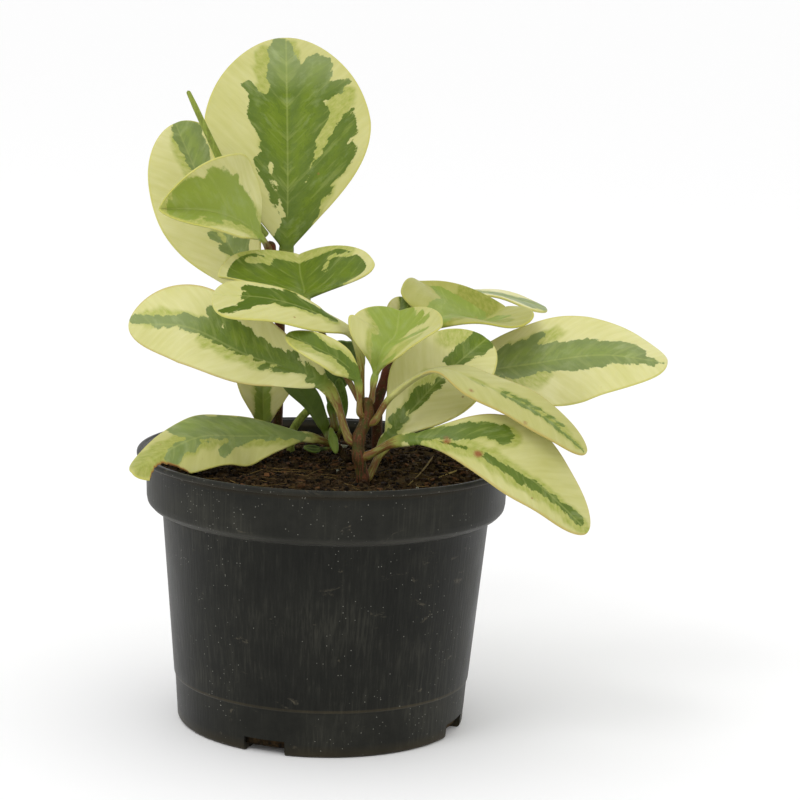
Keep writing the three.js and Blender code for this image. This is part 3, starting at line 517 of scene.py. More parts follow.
def living_leaf(name, look):
    """Living peperomia leaf: a thick, waxy skin over watery flesh.

    The wax gives a soft, broad gloss, and the flesh lets a little light through. Cream and green
    meet along ragged borders that follow the side veins.
    """
    made, node = new_material(name)
    look = {key: colour(value) if isinstance(value, str) else value for key, value in look.items()}
    marks = {
        key: node("Attribute", out=2, attribute_name=key)
        for key in (
            "green", "pale", "rim", "rib", "under", "petiole", "scar", "shade", "young", "deep",
            "silver", "hem",
        )
    }
    flat, veins = (node("UVMap", uv_map=key) for key in ("flat", "veins"))
    # both maps back in millimetres, and two more that are drawn out along the veins or the blade
    flat, veins = (
        node("VectorMath", [sheet, (100, 100, 100)], **TIMES)
        for sheet in (flat, veins)
    )
    striped, stranded = (
        node("VectorMath", [sheet, stretch], **TIMES)
        for sheet, stretch in ((veins, (1, 0.3, 1)), (flat, (1, 0.12, 1)))
    )
    lobes, feathers, teeth, drift, streaks, stripes, islands, air_and_sheen, strands, quilt, grain = (
        node("TexNoise", {"Vector": sheet, "Scale": size, "Detail": detail, "Roughness": rough})
        for sheet, size, detail, rough in (
            (veins, 0.3, 1, 0.5),  # lobes of the border, 3.3 mm across and drawn out
            (veins, 1, 2, 0.6),  # its feathers, 1 mm across and drawn out
            (flat, 2, 3, 0.7),  # its teeth of 0.5 mm
            (flat, 0.07, 2, 0.5),  # broad drift of tone, over 14 mm
            (veins, 0.9, 3, 0.65),  # fine streaks of 1.1 mm
            (striped, 0.5, 3, 0.6),  # side veins and stripes of 2 mm
            (veins, 0.45, 4, 0.72),  # islands of darker green, 2.2 mm across
            (veins, 0.26, 4, 0.62),  # silvery patches, 4 mm across
            (stranded, 2.1, 3, 0.65),  # strands of the petiole, 0.5 mm wide
            (flat, 0.16, 2, 0.5),  # soft quilting of 6 mm
            (flat, 2.6, 2, 0.5),  # waxy grain of 0.4 mm
        )
    )
    # ragged border of the green, in millimetres inwards; on young leaves it is soft
    border = marks["green"]
    for noise, reach in ((lobes, 5), (feathers, 2.2), (teeth, 1.1)):
        border = node("Math", [noise, reach, border], **SCALE_AND_ADD)
    border = node("Math", [border, 4.15], operation="SUBTRACT")
    crisp = node("Math", [marks["young"], -0.85, 1], **SCALE_AND_ADD)
    crisp = node("Math", [border, crisp], **TIMES)
    is_green = node("MapRange", [crisp, -0.14, 0.2], **EASED)
    hem = node("Math", [feathers, 1.2, marks["hem"]], **SCALE_AND_ADD)
    hem = node("MapRange", [hem, 0.5, 0.8], **EASED)
    is_green = node("Math", [is_green, hem], **TIMES)
    # cream, stained yellow in stripes, and the lighter green round the strokes
    yellow = node("MapRange", [stripes, 0.3, 0.7, -0.3, 0.3])
    yellow = node("Math", [yellow, drift], operation="ADD", use_clamp=True)
    cream = node("Mix", {0: yellow, 6: look["cream"], 7: look["cream_drift"]}, **BLEND)
    light_green = node("MapRange", [streaks, 0.3, 0.75])
    light_green = node("Mix", {0: light_green, 6: look["pale"], 7: look["cream_drift"]}, **BLEND)
    is_pale = node("Math", [lobes, 4.5, marks["pale"]], **SCALE_AND_ADD)
    is_pale = node("MapRange", [is_pale, 1.5, 3.6], **EASED)
    skin = node("Mix", {0: is_pale, 6: cream, 7: light_green}, **BLEND)
    # the cream darkened by age and dirt, and by painted shade
    skin = node("Mix", {0: marks["shade"], 6: skin, 7: look["shade"]}, blend_type="MULTIPLY", **BLEND)
    # the green: lighter streaks, hard-edged islands where more layers of the flesh are green,
    # the tone of its age, a deep tone that on one leaflet is painted shade, lighter side veins,
    # and silver where air lies under the skin, which also serves as a painted sheen
    core = node("MapRange", [border, 1.2, 5.5], **EASED)
    streaks = node("MapRange", [streaks, 0.25, 0.8, 0, 0.4])
    islands = node("MapRange", [islands, 0.51, 0.55, 0, 0.42], **EASED)
    lines = node("MapRange", [stripes, 0.54, 0.66, 0, 0.2])
    # silver patches: partly silvery skin, partly a painted sheen
    air_and_sheen = node("MapRange", [air_and_sheen, 0.5, 0.72, 0, 0.32])
    air_and_sheen = node("Math", [air_and_sheen, marks["silver"]], operation="ADD", use_clamp=True)
    green = look["lobe"]
    for mask, tint in (
        (core, "core"), (streaks, "bright"), (islands, "dark"), (marks["young"], "young"),
        (marks["deep"], "deep"), (lines, "rib"), (air_and_sheen, "silver"),
    ):
        green = node("Mix", {0: mask, 6: green, 7: look[tint]}, **BLEND)
    # a pale midrib, and a thin margin where light comes through
    rib = node("MapRange", [marks["rib"], 0.1, 0.5, 0.24, 0])
    rim = node("MapRange", [marks["rim"], 0.1, 0.9, 0.65, 0])
    # corky brown specks up to 1 mm across, a few on each leaf
    speck = node("TexVoronoi", {"Vector": flat, "Scale": 0.16})
    chance = node("SeparateColor", [speck.node.outputs["Color"]])
    chance = node("Math", [chance, look["specks"]], operation="LESS_THAN")
    speck = node("MapRange", [speck, 0.03, 0.09, 0.7, 0])
    speck = node("Math", [speck, chance], **TIMES)
    # healed scars, rust red with a ragged outline
    scar = node("Math", [teeth, 1.6, marks["scar"]], **SCALE_AND_ADD)
    scar = node("MapRange", [scar, 0.7, 2, 0, 0.85])
    # the petiole turns light green, then blushes towards the stem in strands along its length
    stalk = node("MapRange", [marks["petiole"], 0.02, 0.5, 0, 0.8], **EASED)
    blush = node("Math", [strands, 1.3, marks["petiole"]], **SCALE_AND_ADD)
    blush = node("MapRange", [blush, 0.95, 1.6, 0, look["blush"]], **EASED)
    red = node("MapRange", [strands, 0.4, 0.56])
    red = node("Mix", {0: red, 6: look["petiole_low"], 7: look["petiole"]}, **BLEND)
    under = node("Math", [marks["under"], 0.4], **TIMES)
    for mask, tint in (
        (is_green, green), (rib, look["rib"]), (rim, look["rim"]), (speck, look["speck"]),
        (scar, look["scar"]), (stalk, look["stalk"]), (blush, red), (under, look["under"]),
    ):
        skin = node("Mix", {0: mask, 6: skin, 7: tint}, **BLEND)
    gloss = node("MapRange", [drift, 0.3, 0.7, 0.3, 0.44])
    gloss = node("Math", [marks["under"], 0.2, gloss], **SCALE_AND_ADD)
    # relief in millimetres: side veins 5.5 mm apart, soft quilting and a fine waxy grain
    across = node("SeparateXYZ", [veins])
    ridge = node("Math", [across, 2 * math.pi / 5.5], **TIMES)
    ridge = node("Math", [ridge], operation="SINE")
    relief = node("Math", [ridge, 0.035], **TIMES)
    for noise, height in ((quilt, 0.2), (grain, 0.03)):
        relief = node("Math", [noise, height, relief], **SCALE_AND_ADD)
    normal = node("Bump", {"Height": relief, "Distance": MM, "Strength": 0.9})
    shader = node("BsdfPrincipled", {
        "Base Color": skin, "Roughness": gloss, "Normal": normal,
        "Specular IOR Level": look["gloss"], "Coat Weight": look["wax"], "Coat Roughness": 0.2,
        "Subsurface Weight": 0.14, "Subsurface Radius": (1.0, 0.8, 0.25),
        "Subsurface Scale": 0.0022,
    })
    node("OutputMaterial", [shader])
    return made


def living_stem(name, low, high, mottle, strand, gloss=0.12):
    """Living stem: smooth juicy skin, mottled red-brown and green, with corky freckles, and painted shade
    that darkens it towards the foot.
    """
    made, node = new_material(name)
    where = node("TexCoord", out=3)
    height, joint = (node("Attribute", out=2, attribute_name=key) for key in ("height", "joint"))
    along = node("VectorMath", [where, (1, 1, 0.12)], **TIMES)
    patches, strands, freckles = (
        node("TexNoise", {"Vector": place, "Scale": size, "Detail": detail, "Roughness": rough})
        for place, size, detail, rough in (
            (where, 340, 4, 0.65),  # patches 3 mm across
            (along, 1200, 4, 0.7),  # strands 0.8 mm wide, drawn out along the stem
            (where, 1900, 1, 0.5),  # corky freckles 0.5 mm apart
        )
    )
    # painted shade: the darker low colour at the foot, lightening to the high colour up the stem
    height = node("Math", [patches, 0.7, height], **SCALE_AND_ADD)
    strands = node("Math", [joint, 0.05, strands], **SCALE_AND_ADD)
    skin = colour(low)
    for value, start, full, most, tint in (
        (height, 0.4, 1.2, 1, high), (patches, 0.47, 0.6, 0.85, mottle),
        (strands, 0.49, 0.6, 0.8, strand), (freckles, 0.62, 0.7, 0.3, "#8a7450"),
    ):
        mask = node("MapRange", [value, start, full, 0, most])
        skin = node("Mix", {0: mask, 6: skin, 7: colour(tint)}, **BLEND)
    normal = node("Bump", {"Height": freckles, "Distance": 0.00012, "Strength": 0.8})
    shader = node("BsdfPrincipled", {
        "Base Color": skin, "Roughness": 0.58, "Normal": normal, "Specular IOR Level": gloss,
        "Subsurface Weight": 0.03, "Subsurface Radius": (1.0, 0.5, 0.25),
        "Subsurface Scale": 0.0008,
    })
    node("OutputMaterial", [shader])
    return made


def moulded_polypropylene():
    """Moulded black recycled polypropylene, long in use.

    Satin where it is clean, with fine upright scratches, dried splashes, dust and a little soil.
    """
    made, node = new_material("moulded_black_polypropylene")
    where = node("TexCoord", out=3)
    height = node("SeparateXYZ", [where], 2)
    drawn, rubbed = (
        node("VectorMath", [where, stretch], **TIMES)
        for stretch in ((1, 1, 0.02), (1, 1, 2.2))
    )
    scratches, clouds, bloom, drifts, scuffs = (
        node("TexNoise", {
            "Vector": place, "Scale": size, "Detail": detail, "Roughness": rough, "Distortion": bend
        })
        for place, size, detail, rough, bend in (
            (drawn, 1100, 3, 0.7, 0),  # upright lines 0.9 mm apart and finer, 45 mm long
            (where, 34, 4, 0.62, 0),  # broad rubbed places, 30 mm across
            (where, 120, 5, 0.7, 0),  # bloom of dust, 8 mm across
            (where, 42, 3, 0.6, 0),  # drifts of specks, 24 mm across
            (rubbed, 85, 6, 0.75, 0.6),  # scuffs 12 mm long, drawn out sideways
        )
    )
    plastic = node("Mix", {0: clouds, 6: colour("#070806"), 7: colour("#161712")}, **BLEND)
    # how much the lines show and how dusty it is, up the wall in metres: the foot below the
    # step has few lines but more dust, and the collar has the most dust
    foot = node("MapRange", [height, 0.0155, 0.0165, 1, 0])
    wall = node("MapRange", [height, 0.07, 0.076, 0.7, 0.25])
    wall = node("Math", [foot, -0.5, wall], **SCALE_AND_ADD)
    dusty = node("MapRange", [height, 0.068, 0.08, 0.12, 0.3], **EASED)
    dusty = node("Math", [foot, 0.13, dusty], **SCALE_AND_ADD)
    lines = node("MapRange", [scratches, 0.42, 0.68, 0, 0.4])
    lines = node("Math", [lines, wall], **TIMES)
    worn = node("Math", [scratches, clouds], **TIMES)
    worn = node("MapRange", [worn, 0.27, 0.42, 0, 0.42])
    for factor in (dusty, clouds, 2.2):
        bloom = node("Math", [bloom, factor], **TIMES)
    layers = [(lines, "#2b2b26"), (worn, "#38372f"), (bloom, "#4b4a42")]
    # belts round the pot, as (level, half height, share, colour) in metres: the paler worn edge
    # of the collar, olive dirt under the lip, dried mud on the step and along the bottom edge
    for level, reach, share, tint in (
        (0.0748, 0.0022, 0.45, "#55534a"), (0.0908, 0.0016, 1.5, "#2b2516"),
        (0.0162, 0.0007, 0.6, "#4f4631"), (0, 0.0045, 1, "#3d3522"),
    ):
        belt = node("Math", [height, level], operation="SUBTRACT")
        belt = node("Math", [belt], operation="ABSOLUTE")
        belt = node("MapRange", [belt, 0.0003, reach, share, 0])
        layers.append((node("Math", [belt, clouds], **TIMES), tint))
    # beige scuffs
    layers.append((node("MapRange", [scuffs, 0.63, 0.73, 0, 0.5]), "#6a6353"))
    # white specks of dust and perlite, 0.2 to 0.5 mm across, thickest in drifts and where dusty
    drifts = node("Math", [dusty, 0.42, drifts], **SCALE_AND_ADD)
    drifts = node("MapRange", [drifts, 0.56, 0.84, 0.006, 0.42])
    specks = 0.0
    for count, wide in ((400, 0.09), (1000, 0.2)):
        dot = node("TexVoronoi", {"Vector": where, "Scale": count})
        chance = node("SeparateColor", [dot.node.outputs["Color"]])
        chance = node("Math", [chance, drifts], operation="LESS_THAN")
        dot = node("MapRange", [dot, wide / 3, wide, 0.5, 0])
        specks = node("Math", [dot, chance, specks], **SCALE_AND_ADD)
    layers.append((specks, "#b9b8ac"))
    for mask, tint in layers:
        plastic = node("Mix", {0: mask, 6: plastic, 7: colour(tint)}, **BLEND)
    gloss = node("MapRange", [clouds, 0.3, 0.7, 0.3, 0.44])
    gloss = node("Math", [bloom, 0.4, gloss], **SCALE_AND_ADD)
    relief = node("Math", [scratches, 0.5, clouds], **SCALE_AND_ADD)
    normal = node("Bump", {"Height": relief, "Distance": 0.00016, "Strength": 0.8})
    shader = node("BsdfPrincipled", {
        "Base Color": plastic, "Roughness": gloss, "Normal": normal, "Specular IOR Level": 0.115,
        "Sheen Weight": 0.035, "Sheen Roughness": 0.5,
    })
    node("OutputMaterial", [shader])
    return made


def potting_soil():
    """Moist potting soil of peat and bark: dark, matt crumbs with drier patches, and painted light that
    makes it lighter to the right.
    """
    made, node = new_material("potting_soil")
    where = node("TexCoord", out=3)
    crumbs, clods = (
        node("TexNoise", {"Vector": where, "Scale": size, "Detail": detail, "Roughness": rough})
        for size, detail, rough in ((420, 5, 0.7), (70, 3, 0.5))  # 2.4 mm and 14 mm across
    )
    light = node("MapRange", [crumbs, 0.42, 0.66])
    earth = node("Mix", {0: light, 6: colour("#0a0703"), 7: colour("#3f2e18")}, **BLEND)
    # painted light: lighter towards the right, where less shade falls; the clods add drier patches
    lit_east = node("SeparateXYZ", [where])
    lit_east = node("MapRange", [lit_east, 0.004, 0.04, 0, 0.3], **EASED)
    dry_and_lit = node("Math", [clods, lit_east], operation="ADD")
    dry_and_lit = node("MapRange", [dry_and_lit, 0.48, 0.78, 0, 0.8])
    earth = node("Mix", {0: dry_and_lit, 6: earth, 7: colour("#4a3c24")}, **BLEND)
    relief = node("Math", [clods, 1.5, crumbs], **SCALE_AND_ADD)
    normal = node("Bump", {"Height": relief, "Distance": 0.0011, "Strength": 1})
    shader = node("BsdfPrincipled", {
        "Base Color": earth, "Roughness": 0.9, "Normal": normal, "Specular IOR Level": 0.1,
    })
    node("OutputMaterial", [shader])
    return made


def scraps(name, dark, light, roughness):
    """Scraps in the soil, such as bark or straw: matt, each with its own tone between two."""
    made, node = new_material(name)
    where = node("TexCoord", out=3)
    tone = node("Attribute", out=2, attribute_name="tone")
    grain = node("TexNoise", {"Vector": where, "Scale": 900, "Detail": 3})  # 1.1 mm
    tone = node("Math", [grain, 0.5, tone], **SCALE_AND_ADD)
    tone = node("Math", [tone, -0.25], operation="ADD")
    skin = node("Mix", {0: tone, 6: colour(dark), 7: colour(light)}, **BLEND)
    normal = node("Bump", {"Height": grain, "Distance": 0.0002, "Strength": 0.8})
    shader = node("BsdfPrincipled", {
        "Base Color": skin, "Roughness": roughness, "Normal": normal, "Specular IOR Level": 0.15,
    })
    node("OutputMaterial", [shader])
    return made


BRIGHT_LEAF = {
    "cream": "#dad79e", "cream_drift": "#c9c77f", "pale": "#a3ad4f", "lobe": "#5d722f",
    "core": "#71871b", "bright": "#92a12f", "dark": "#52671d", "rib": "#b4bb6c",
    "rim": "#bdb957", "speck": "#8d6a35", "scar": "#8a4128", "stalk": "#8e9040",
    "petiole": "#632b17", "petiole_low": "#706c32", "under": "#adb07a", "shade": "#b1b462",
    "young": "#9bab4b", "deep": "#4a6012", "silver": "#a8b380",
    "specks": 0.1, "blush": 0.85, "gloss": 0.17, "wax": 0.05,
}
# the deep tone of the green leaves is painted shade, used on leaflet_low under the leaves above
GREEN_LEAF = {
    **BRIGHT_LEAF, "cream": "#6c8030", "cream_drift": "#5d7224", "pale": "#6a8733",
    "lobe": "#4a5f22", "core": "#52691c", "bright": "#677d27", "dark": "#3a4e15",
    "rib": "#84954a", "rim": "#647a30", "under": "#667c48", "stalk": "#6c7c38",
    "silver": "#7d8c5c", "deep": "#1f2a0b", "specks": 0.03, "blush": 0.6,
}

variegated = living_leaf("living_leaf_variegated", BRIGHT_LEAF)
green_leaf = living_leaf("living_leaf_green", GREEN_LEAF)
blushed_leaf = living_leaf(
    "living_leaf_blushed", {**BRIGHT_LEAF, "rim": "#b39a50", "specks": 0.22}
)
dull_leaf = living_leaf("living_leaf_dull", {**BRIGHT_LEAF, "gloss": 0.05, "wax": 0.0})
red_stem = living_stem("living_stem_red_brown", "#14110a", "#4a3b18", "#3c4216", "#5f3420")
dark_stem = living_stem("living_stem_dark_red", "#33250f", "#572a18", "#3a391a", "#552a1a")
shaded_stem = living_stem(
    "living_stem_in_shade", "#14100a", "#2a2212", "#252410", "#33201a", gloss=0.0
)
green_shoot = living_stem("living_shoot_green", "#76843a", "#85943c", "#6c7832", "#93a04c")
black_plastic = moulded_polypropylene()
earth = potting_soil()
bark = scraps("pine_bark_chips", "#130c06", "#644428", 0.9)
peat = scraps("crumbs_of_peat", "#080503", "#46351e", 0.95)
straw = scraps("dry_straw", "#6b5a30", "#a08c52", 0.8)
root_fibre = scraps("root_fibre", "#3a2c18", "#8a7342", 0.85)
perlite = scraps("perlite_grains", "#6c6d5c", "#a7ab98", 0.8)

# ---------------------------------------------------------------- leaves

BLADE_RINGS = 97
BLADE_CROWDING = 1.5  # power that brings the rings closer together towards the tip
BLADE_COLUMNS = 48
PETIOLE_RINGS = 22
ELBOW_RINGS = 8  # inside and beside the stem, where the petiole bends out of it
ELBOW_REACH = 1.3  # in petiole radii, how far before the petiole's start the elbow bends
EDGE_RADIUS = 0.4  # rounding of the blade's margin
TIP_ROUNDING = 0.5  # how far before its tip a blade starts to close
GROOVE = (0.28, 0.8)  # depth and half width of the groove over the midrib
RIB_WIDTH = 1.8  # half width of the midrib below
RIPPLE, RIPPLE_LENGTH = 0.35, 23  # height and length of the margin's waves
SWELL, SWELL_LENGTH = 0.16, 1.6  # share by which a petiole thickens at its foot, and over what
WING_SHARE = 0.09  # half width of the blade's strips beside the petiole, to the blade's own
WING_LIMIT = 1.1  # the same strips' greatest half width, in petiole radii
WING_START = -0.6  # where on the petiole they start, from -1 at its foot to 0 at the neck
FAR = 9.0  # further out than any mark on a leaf can be seen
NO_SCAR = -3.0  # the same for a scar
TORN_DEPTH, TORN_SLOPE = 1.2, 1.3  # how far the rust of a torn margin goes in, and how it fades
STREAK_END = 0.06  # green that starts on the blade before this place runs on down the petiole
STREAK_SHARE = 0.6  # how far down, to the petiole's length
STREAK_FOOT = 0.4  # its half width down there
STREAK_EXTRA = 0.6  # how much wider it is at the neck than the blade's own stroke
VEIN_STRETCH = 0.4  # scale of the veins' map along them, so that what lies on it is drawn out

# leaves that are not just variegated: blades with reddish margins, blades whose wax has worn
# dull, and blades that are green all over
LEAF_FINISH = {
    **dict.fromkeys(("leaf_big_left", "leaf_arching", "leaf_rim_right"), blushed_leaf),
    **dict.fromkeys(("leaf_right_cup", "leaf_mid_left"), dull_leaf),
    **dict.fromkeys(("leaf_dark_left", "leaf_dark_right", "leaf_dark_small"), green_leaf),
    **dict.fromkeys(("leaflet_down", "leaflet_low"), green_leaf),
}
# how far the cream of a blade is darkened: partly by age and dirt, partly as painted shade
AGE_AND_SHADE = {
    "leaf_top": 0.3, "leaf_cup": 0.3, "leaf_right_cup": 0.75, "leaf_arching": 0.5,
    "leaf_rim_right": 0.3, "leaf_rim_left": 0.45, "leaf_mid_left": 0.25, "leaf_cream": 0.1,
    "leaf_mid_front": 0.25, "leaf_open_back": 0.2, "leaf_far_right": 0, "leaf_big_left": 0.05,
}
# how far the green of a blade goes to the young, the deep and the silvery tone; the silvery
# tone is partly a painted sheen, and on leaflet_low the deep tone is painted shade
TONES = {
    "leaf_top": (0, 0.4, -0.1), "leaf_top_left": (0, 0, 0.25), "leaf_young": (0.75, 0, 0),
    "leaf_open_back": (0, 0.5, -0.2), "leaf_mid_left": (0, 0.8, -0.12),
    "leaf_big_left": (0, 0.15, -0.15), "leaf_mid_front": (0, 0.4, -0.2), "leaf_cup": (0.7, 0, 0),
    "leaf_right_cup": (0.7, 0.2, -0.5), "leaf_right_edge": (0, 0, 0.3),
    "leaf_far_right": (0, 0.1, 0.3), "leaf_rim_left": (0, 0.25, 0.25),
    "leaf_rim_right": (0, 0.4, -0.1), "leaf_cream": (0, 0.35, 0), "leaf_low_back": (0.4, 0, 0),
    "leaf_dark_left": (0.15, 0, 0), "leaflet_down": (0.4, 0, 0), "leaflet_low": (0, 0.9, -0.3),
}
# blades with a painted sheen that grows silvery towards the tip: by how much, and the places
# where it starts and is complete
SHEEN_TOWARDS_TIP = {"leaf_top": (0.5, 0.68, 0.93), "leaf_big_left": (0.6, 0.45, 0.75)}
# where half a blade is wider than its solid, or narrower: side, place, reach along the blade
# and share of the width
FULLER = {"leaf_big_left": (1, 0.28, 0.14, 0.2), "leaf_cup": (-1, 0.6, 0.16, -0.12)}
# petioles that are slimmer than the rest, by their share of the usual radius
SLIM = {"leaf_cup": 0.72, "leaf_mid_front": 0.72, "leaf_arching": 0.85, "leaf_mid_left": 0.8,
        "leaf_young": 0.85}


def petiole_start(leaf, radius):
    """Where a petiole leaves its stem, and a point lower down on the stem's own centre line."""
    stem = STEMS[leaf["stem"]]
    place, run = curve_at(stem["path"], [leaf["at"]])
    reach = np.array(leaf["path"][0], float) - place[0]
    slope = abs(unit(reach) @ run[0])
    outward = unit(reach - run[0] * (reach @ run[0]))
    start = place[0] + outward * (stem["radius"] + GAP + radius * slope)
    return start, place[0] - run[0] * 0.6 * stem["radius"]


def carried(up, along):
    """The first direction carried along a path, kept square to it from ring to ring."""
    kept = [up]
    for run in along[1:]:
        kept.append(unit(kept[-1] - run * (kept[-1] @ run)))
    return np.array(kept)


def blade_profile(place, leaf):
    """Share of the full half width: a power of a sine up to the widest place, then a dome."""
    rise = np.sin(np.pi / 2 * np.clip(place / leaf["widest"], 0, 1)) ** leaf["base"]
    beyond = np.clip((place - leaf["widest"]) / (1 - leaf["widest"]), 0, 1)
    return np.where(place < leaf["widest"], rise, np.sqrt(1 - beyond ** leaf["tip"]))


def bite_depth(place, side, leaf):
    """Half a sine wave with smaller jags, between the ends of the torn place on its own side."""
    bite = leaf.get("bite")
    if not bite:
        return 0 * place * side
    along = np.clip((place - bite["from"]) / (bite["to"] - bite["from"]), 0, 1)
    jags = 0.7 * np.abs(np.sin(7.5 * np.pi * along)) + 0.35 * np.abs(np.sin(17 * np.pi * along))
    depth = bite["depth"] * np.sin(np.pi * along) + jags * np.sin(np.pi * along) ** 0.5
    return depth * (np.sign(side) == bite["side"])


def stroke_depth(x, y, strokes, spot):
    """How deep each point lies inside the strokes, in millimetres, negative outside.

    For one stroke it is the width there less the distance to its middle line.
    """
    deepest = np.full(x.shape, -FAR)
    for place_a, side_a, place_b, side_b, width_a, width_b in strokes:
        a, b = spot(place_a, side_a), spot(place_b, side_b)
        run = b - a
        share = np.clip(((x - a[0]) * run[0] + (y - a[1]) * run[1]) / (run @ run), 0, 1)
        away = np.hypot(x - a[0] - share * run[0], y - a[1] - share * run[1])
        deepest = np.maximum(deepest, width_a + (width_b - width_a) * share - away)
    return deepest


def make_leaf(name, leaf, pattern):
    """A closed leaf blade and petiole.

    Rings of points follow the centre line. A ring is a flattened oval: each half rises from the
    midrib by the fold, is bent on by the curl, and is as wide as the profile says. Along the
    petiole the ring is round. The midrib is a groove above and a rib below, and the margins
    ripple by a fraction of a millimetre.
    """
    rng = np.random.default_rng(sum(name.encode()))
    radius = leaf.get("petiole", PETIOLE_RADIUS)
    start, root = petiole_start(leaf, radius)
    path = np.array([start, *leaf["path"]])
    last, neck = len(path) - 1, 1 + leaf.get("lead", 0)
    place = np.concatenate([
        np.linspace(-1, 0, PETIOLE_RINGS, endpoint=False),
        1 - (1 - np.linspace(0, 1, BLADE_RINGS)) ** BLADE_CROWDING,
    ])
    knot = np.where(place < 0, neck * (1 + place), neck + place * (last - neck))
    centre, along = curve_at(path, knot)
    even = (leaf.get("even", 0) * np.minimum(1, 1 + place))[:, None]
    along = unit(along * (1 - even) + unit(path[last] - path[neck]) * even)
    ease = smooth(place, 0, 1)[:, None]
    up = unit(leaf["facing"][0]) * (1 - ease) + unit(leaf["facing"][1]) * ease
    up = unit(up - (up * along).sum(-1, keepdims=True) * along)

    # the elbow is a quadratic curve from the stem's centre line to the petiole's start
    share = np.linspace(0, 1, ELBOW_RINGS, endpoint=False)[:, None]
    bend = start - along[0] * ELBOW_REACH * radius
    elbow = root * (1 - share) ** 2 + 2 * bend * share * (1 - share) + start * share**2
    elbow_run = unit((bend - root) * (1 - share) + (start - bend) * share)
    back = np.concatenate([along[:1], elbow_run[::-1]])
    centre = np.concatenate([elbow, centre])
    along = np.concatenate([elbow_run, along])
    up = np.concatenate([carried(up[0], back)[:0:-1], up])
    place = np.concatenate([np.full(ELBOW_RINGS, -1.0), place])
    blade = np.maximum(place, 0)
    right = np.cross(along, up)

    step = np.linalg.norm(np.diff(centre, axis=0), axis=1)
    travelled = np.concatenate([[0], np.cumsum(step)])
    travelled -= travelled[ELBOW_RINGS + PETIOLE_RINGS]
    foot, length = travelled[ELBOW_RINGS], travelled[-1]
    flat = smooth(blade, 0, PETIOLE_FLARE)[:, None]
    turn = np.linspace(-1, 1, BLADE_COLUMNS + 1)[None]
    side = np.sin(np.pi / 2 * turn)
    amount = np.abs(side)
    half = np.where(side < 0, leaf["halfWidth"][0], leaf["halfWidth"][1])
    profile = blade_profile(blade, leaf)[:, None]
    width = half * profile
    fuller_side, fuller_at, fuller_reach, extra = FULLER.get(name, (0, 0, 1, 0))
    bell = np.exp(-(((blade[:, None] - fuller_at) / fuller_reach) ** 2))
    width = width * (1 + extra * bell * (np.sign(side) == fuller_side))
    torn = bite_depth(blade[:, None], side, leaf)
    width = width - torn
    slim = SLIM.get(name, 1)
    wing = min(WING_SHARE * sum(leaf["halfWidth"]) / 2, WING_LIMIT * radius * slim**3)
    wing = wing * smooth(place, WING_START, 0) * (1 - smooth(place, 0, PETIOLE_FLARE))
    width = np.maximum(np.maximum(width, 0) * (place[:, None] >= 0), wing[:, None])
    fold = np.radians(leaf["fold"][0] * (1 - blade) + leaf["fold"][1] * blade)[:, None]
    curl = math.radians(leaf["curl"])
    angle = fold + curl * amount / 2
    reach = amount * width
    swell = slim + SWELL * np.exp(-(((travelled - foot) / SWELL_LENGTH) ** 2))[:, None]
    x = np.sign(side) * reach * np.cos(angle)
    x = x + (1 - flat) * radius * swell * np.sin(np.pi / 2 * turn)
    phase = rng.uniform(0, 2 * np.pi, 2)
    wave = 2 * np.pi * travelled[:, None] / RIPPLE_LENGTH + phase[0] + (side > 0) * phase[1]
    ripple = RIPPLE * np.sin(wave) * amount**3 * flat * profile
    z = reach * np.sin(angle) + ripple

    edge = np.minimum(EDGE_RADIUS, np.maximum(width, 1e-6))
    inside = np.clip((width - reach) / edge, 0, 1)
    edge_round = np.where(width > 0, np.sqrt(1 - (1 - inside) ** 2), 1)
    to_tip = (length - travelled)[:, None]
    tip_round = np.sqrt(1 - (1 - np.clip(to_tip / TIP_ROUNDING, 0, 1)) ** 2)
    thick = LEAF_THICKNESS + (MARGIN_THICKNESS - LEAF_THICKNESS) * amount**2
    body = flat * thick / 2 * edge_round * tip_round
    above = (1 - flat) * radius * swell * np.cos(np.pi / 2 * turn) + body
    groove = GROOVE[0] * flat * (1 - 0.6 * blade[:, None]) * np.exp(-((x / GROOVE[1]) ** 2))
    groove = groove * tip_round
    rib = flat * MIDRIB_DEPTH * (1 - blade[:, None]) * np.exp(-((x / RIB_WIDTH) ** 2))
    leaning = flat * np.minimum(1, width / LEAN_WIDTH)
    lean = np.sign(side) * (fold + curl * amount) * leaning

    def surface(height):
        """Points at a height above or below the ring's middle line, square to it."""
        return (
            centre[:, None]
            + right[:, None] * (x - height * np.sin(lean))[..., None]
            + up[:, None] * (z + height * np.cos(lean))[..., None]
        )

    top, bottom = surface(above - groove), surface(-above - rib)
    rings = np.concatenate([top, bottom[:, -2:0:-1]], axis=1)[:-1]

    # the blade laid flat: x across from the midrib and y along it, in millimetres
    flat_x = np.broadcast_to(side * np.maximum(width, radius), x.shape)
    flat_y = np.broadcast_to(travelled[:, None], x.shape)

    def all_round(sheet, below=None):
        """One number for each point of the mesh from a sheet for the upper face."""
        under = sheet if below is None else below
        ring = np.concatenate([sheet, under[:, -2:0:-1]], axis=1)[:-1]
        return np.concatenate([ring.ravel(), [ring[0].mean(), sheet[-1, BLADE_COLUMNS // 2]]])

    def spot(at, across):
        """The point of the flat blade at a place and a share of the half width."""
        wide = leaf["halfWidth"][0] if across < 0 else leaf["halfWidth"][1]
        return np.array([across * wide * float(blade_profile(np.array(at), leaf)), at * length])

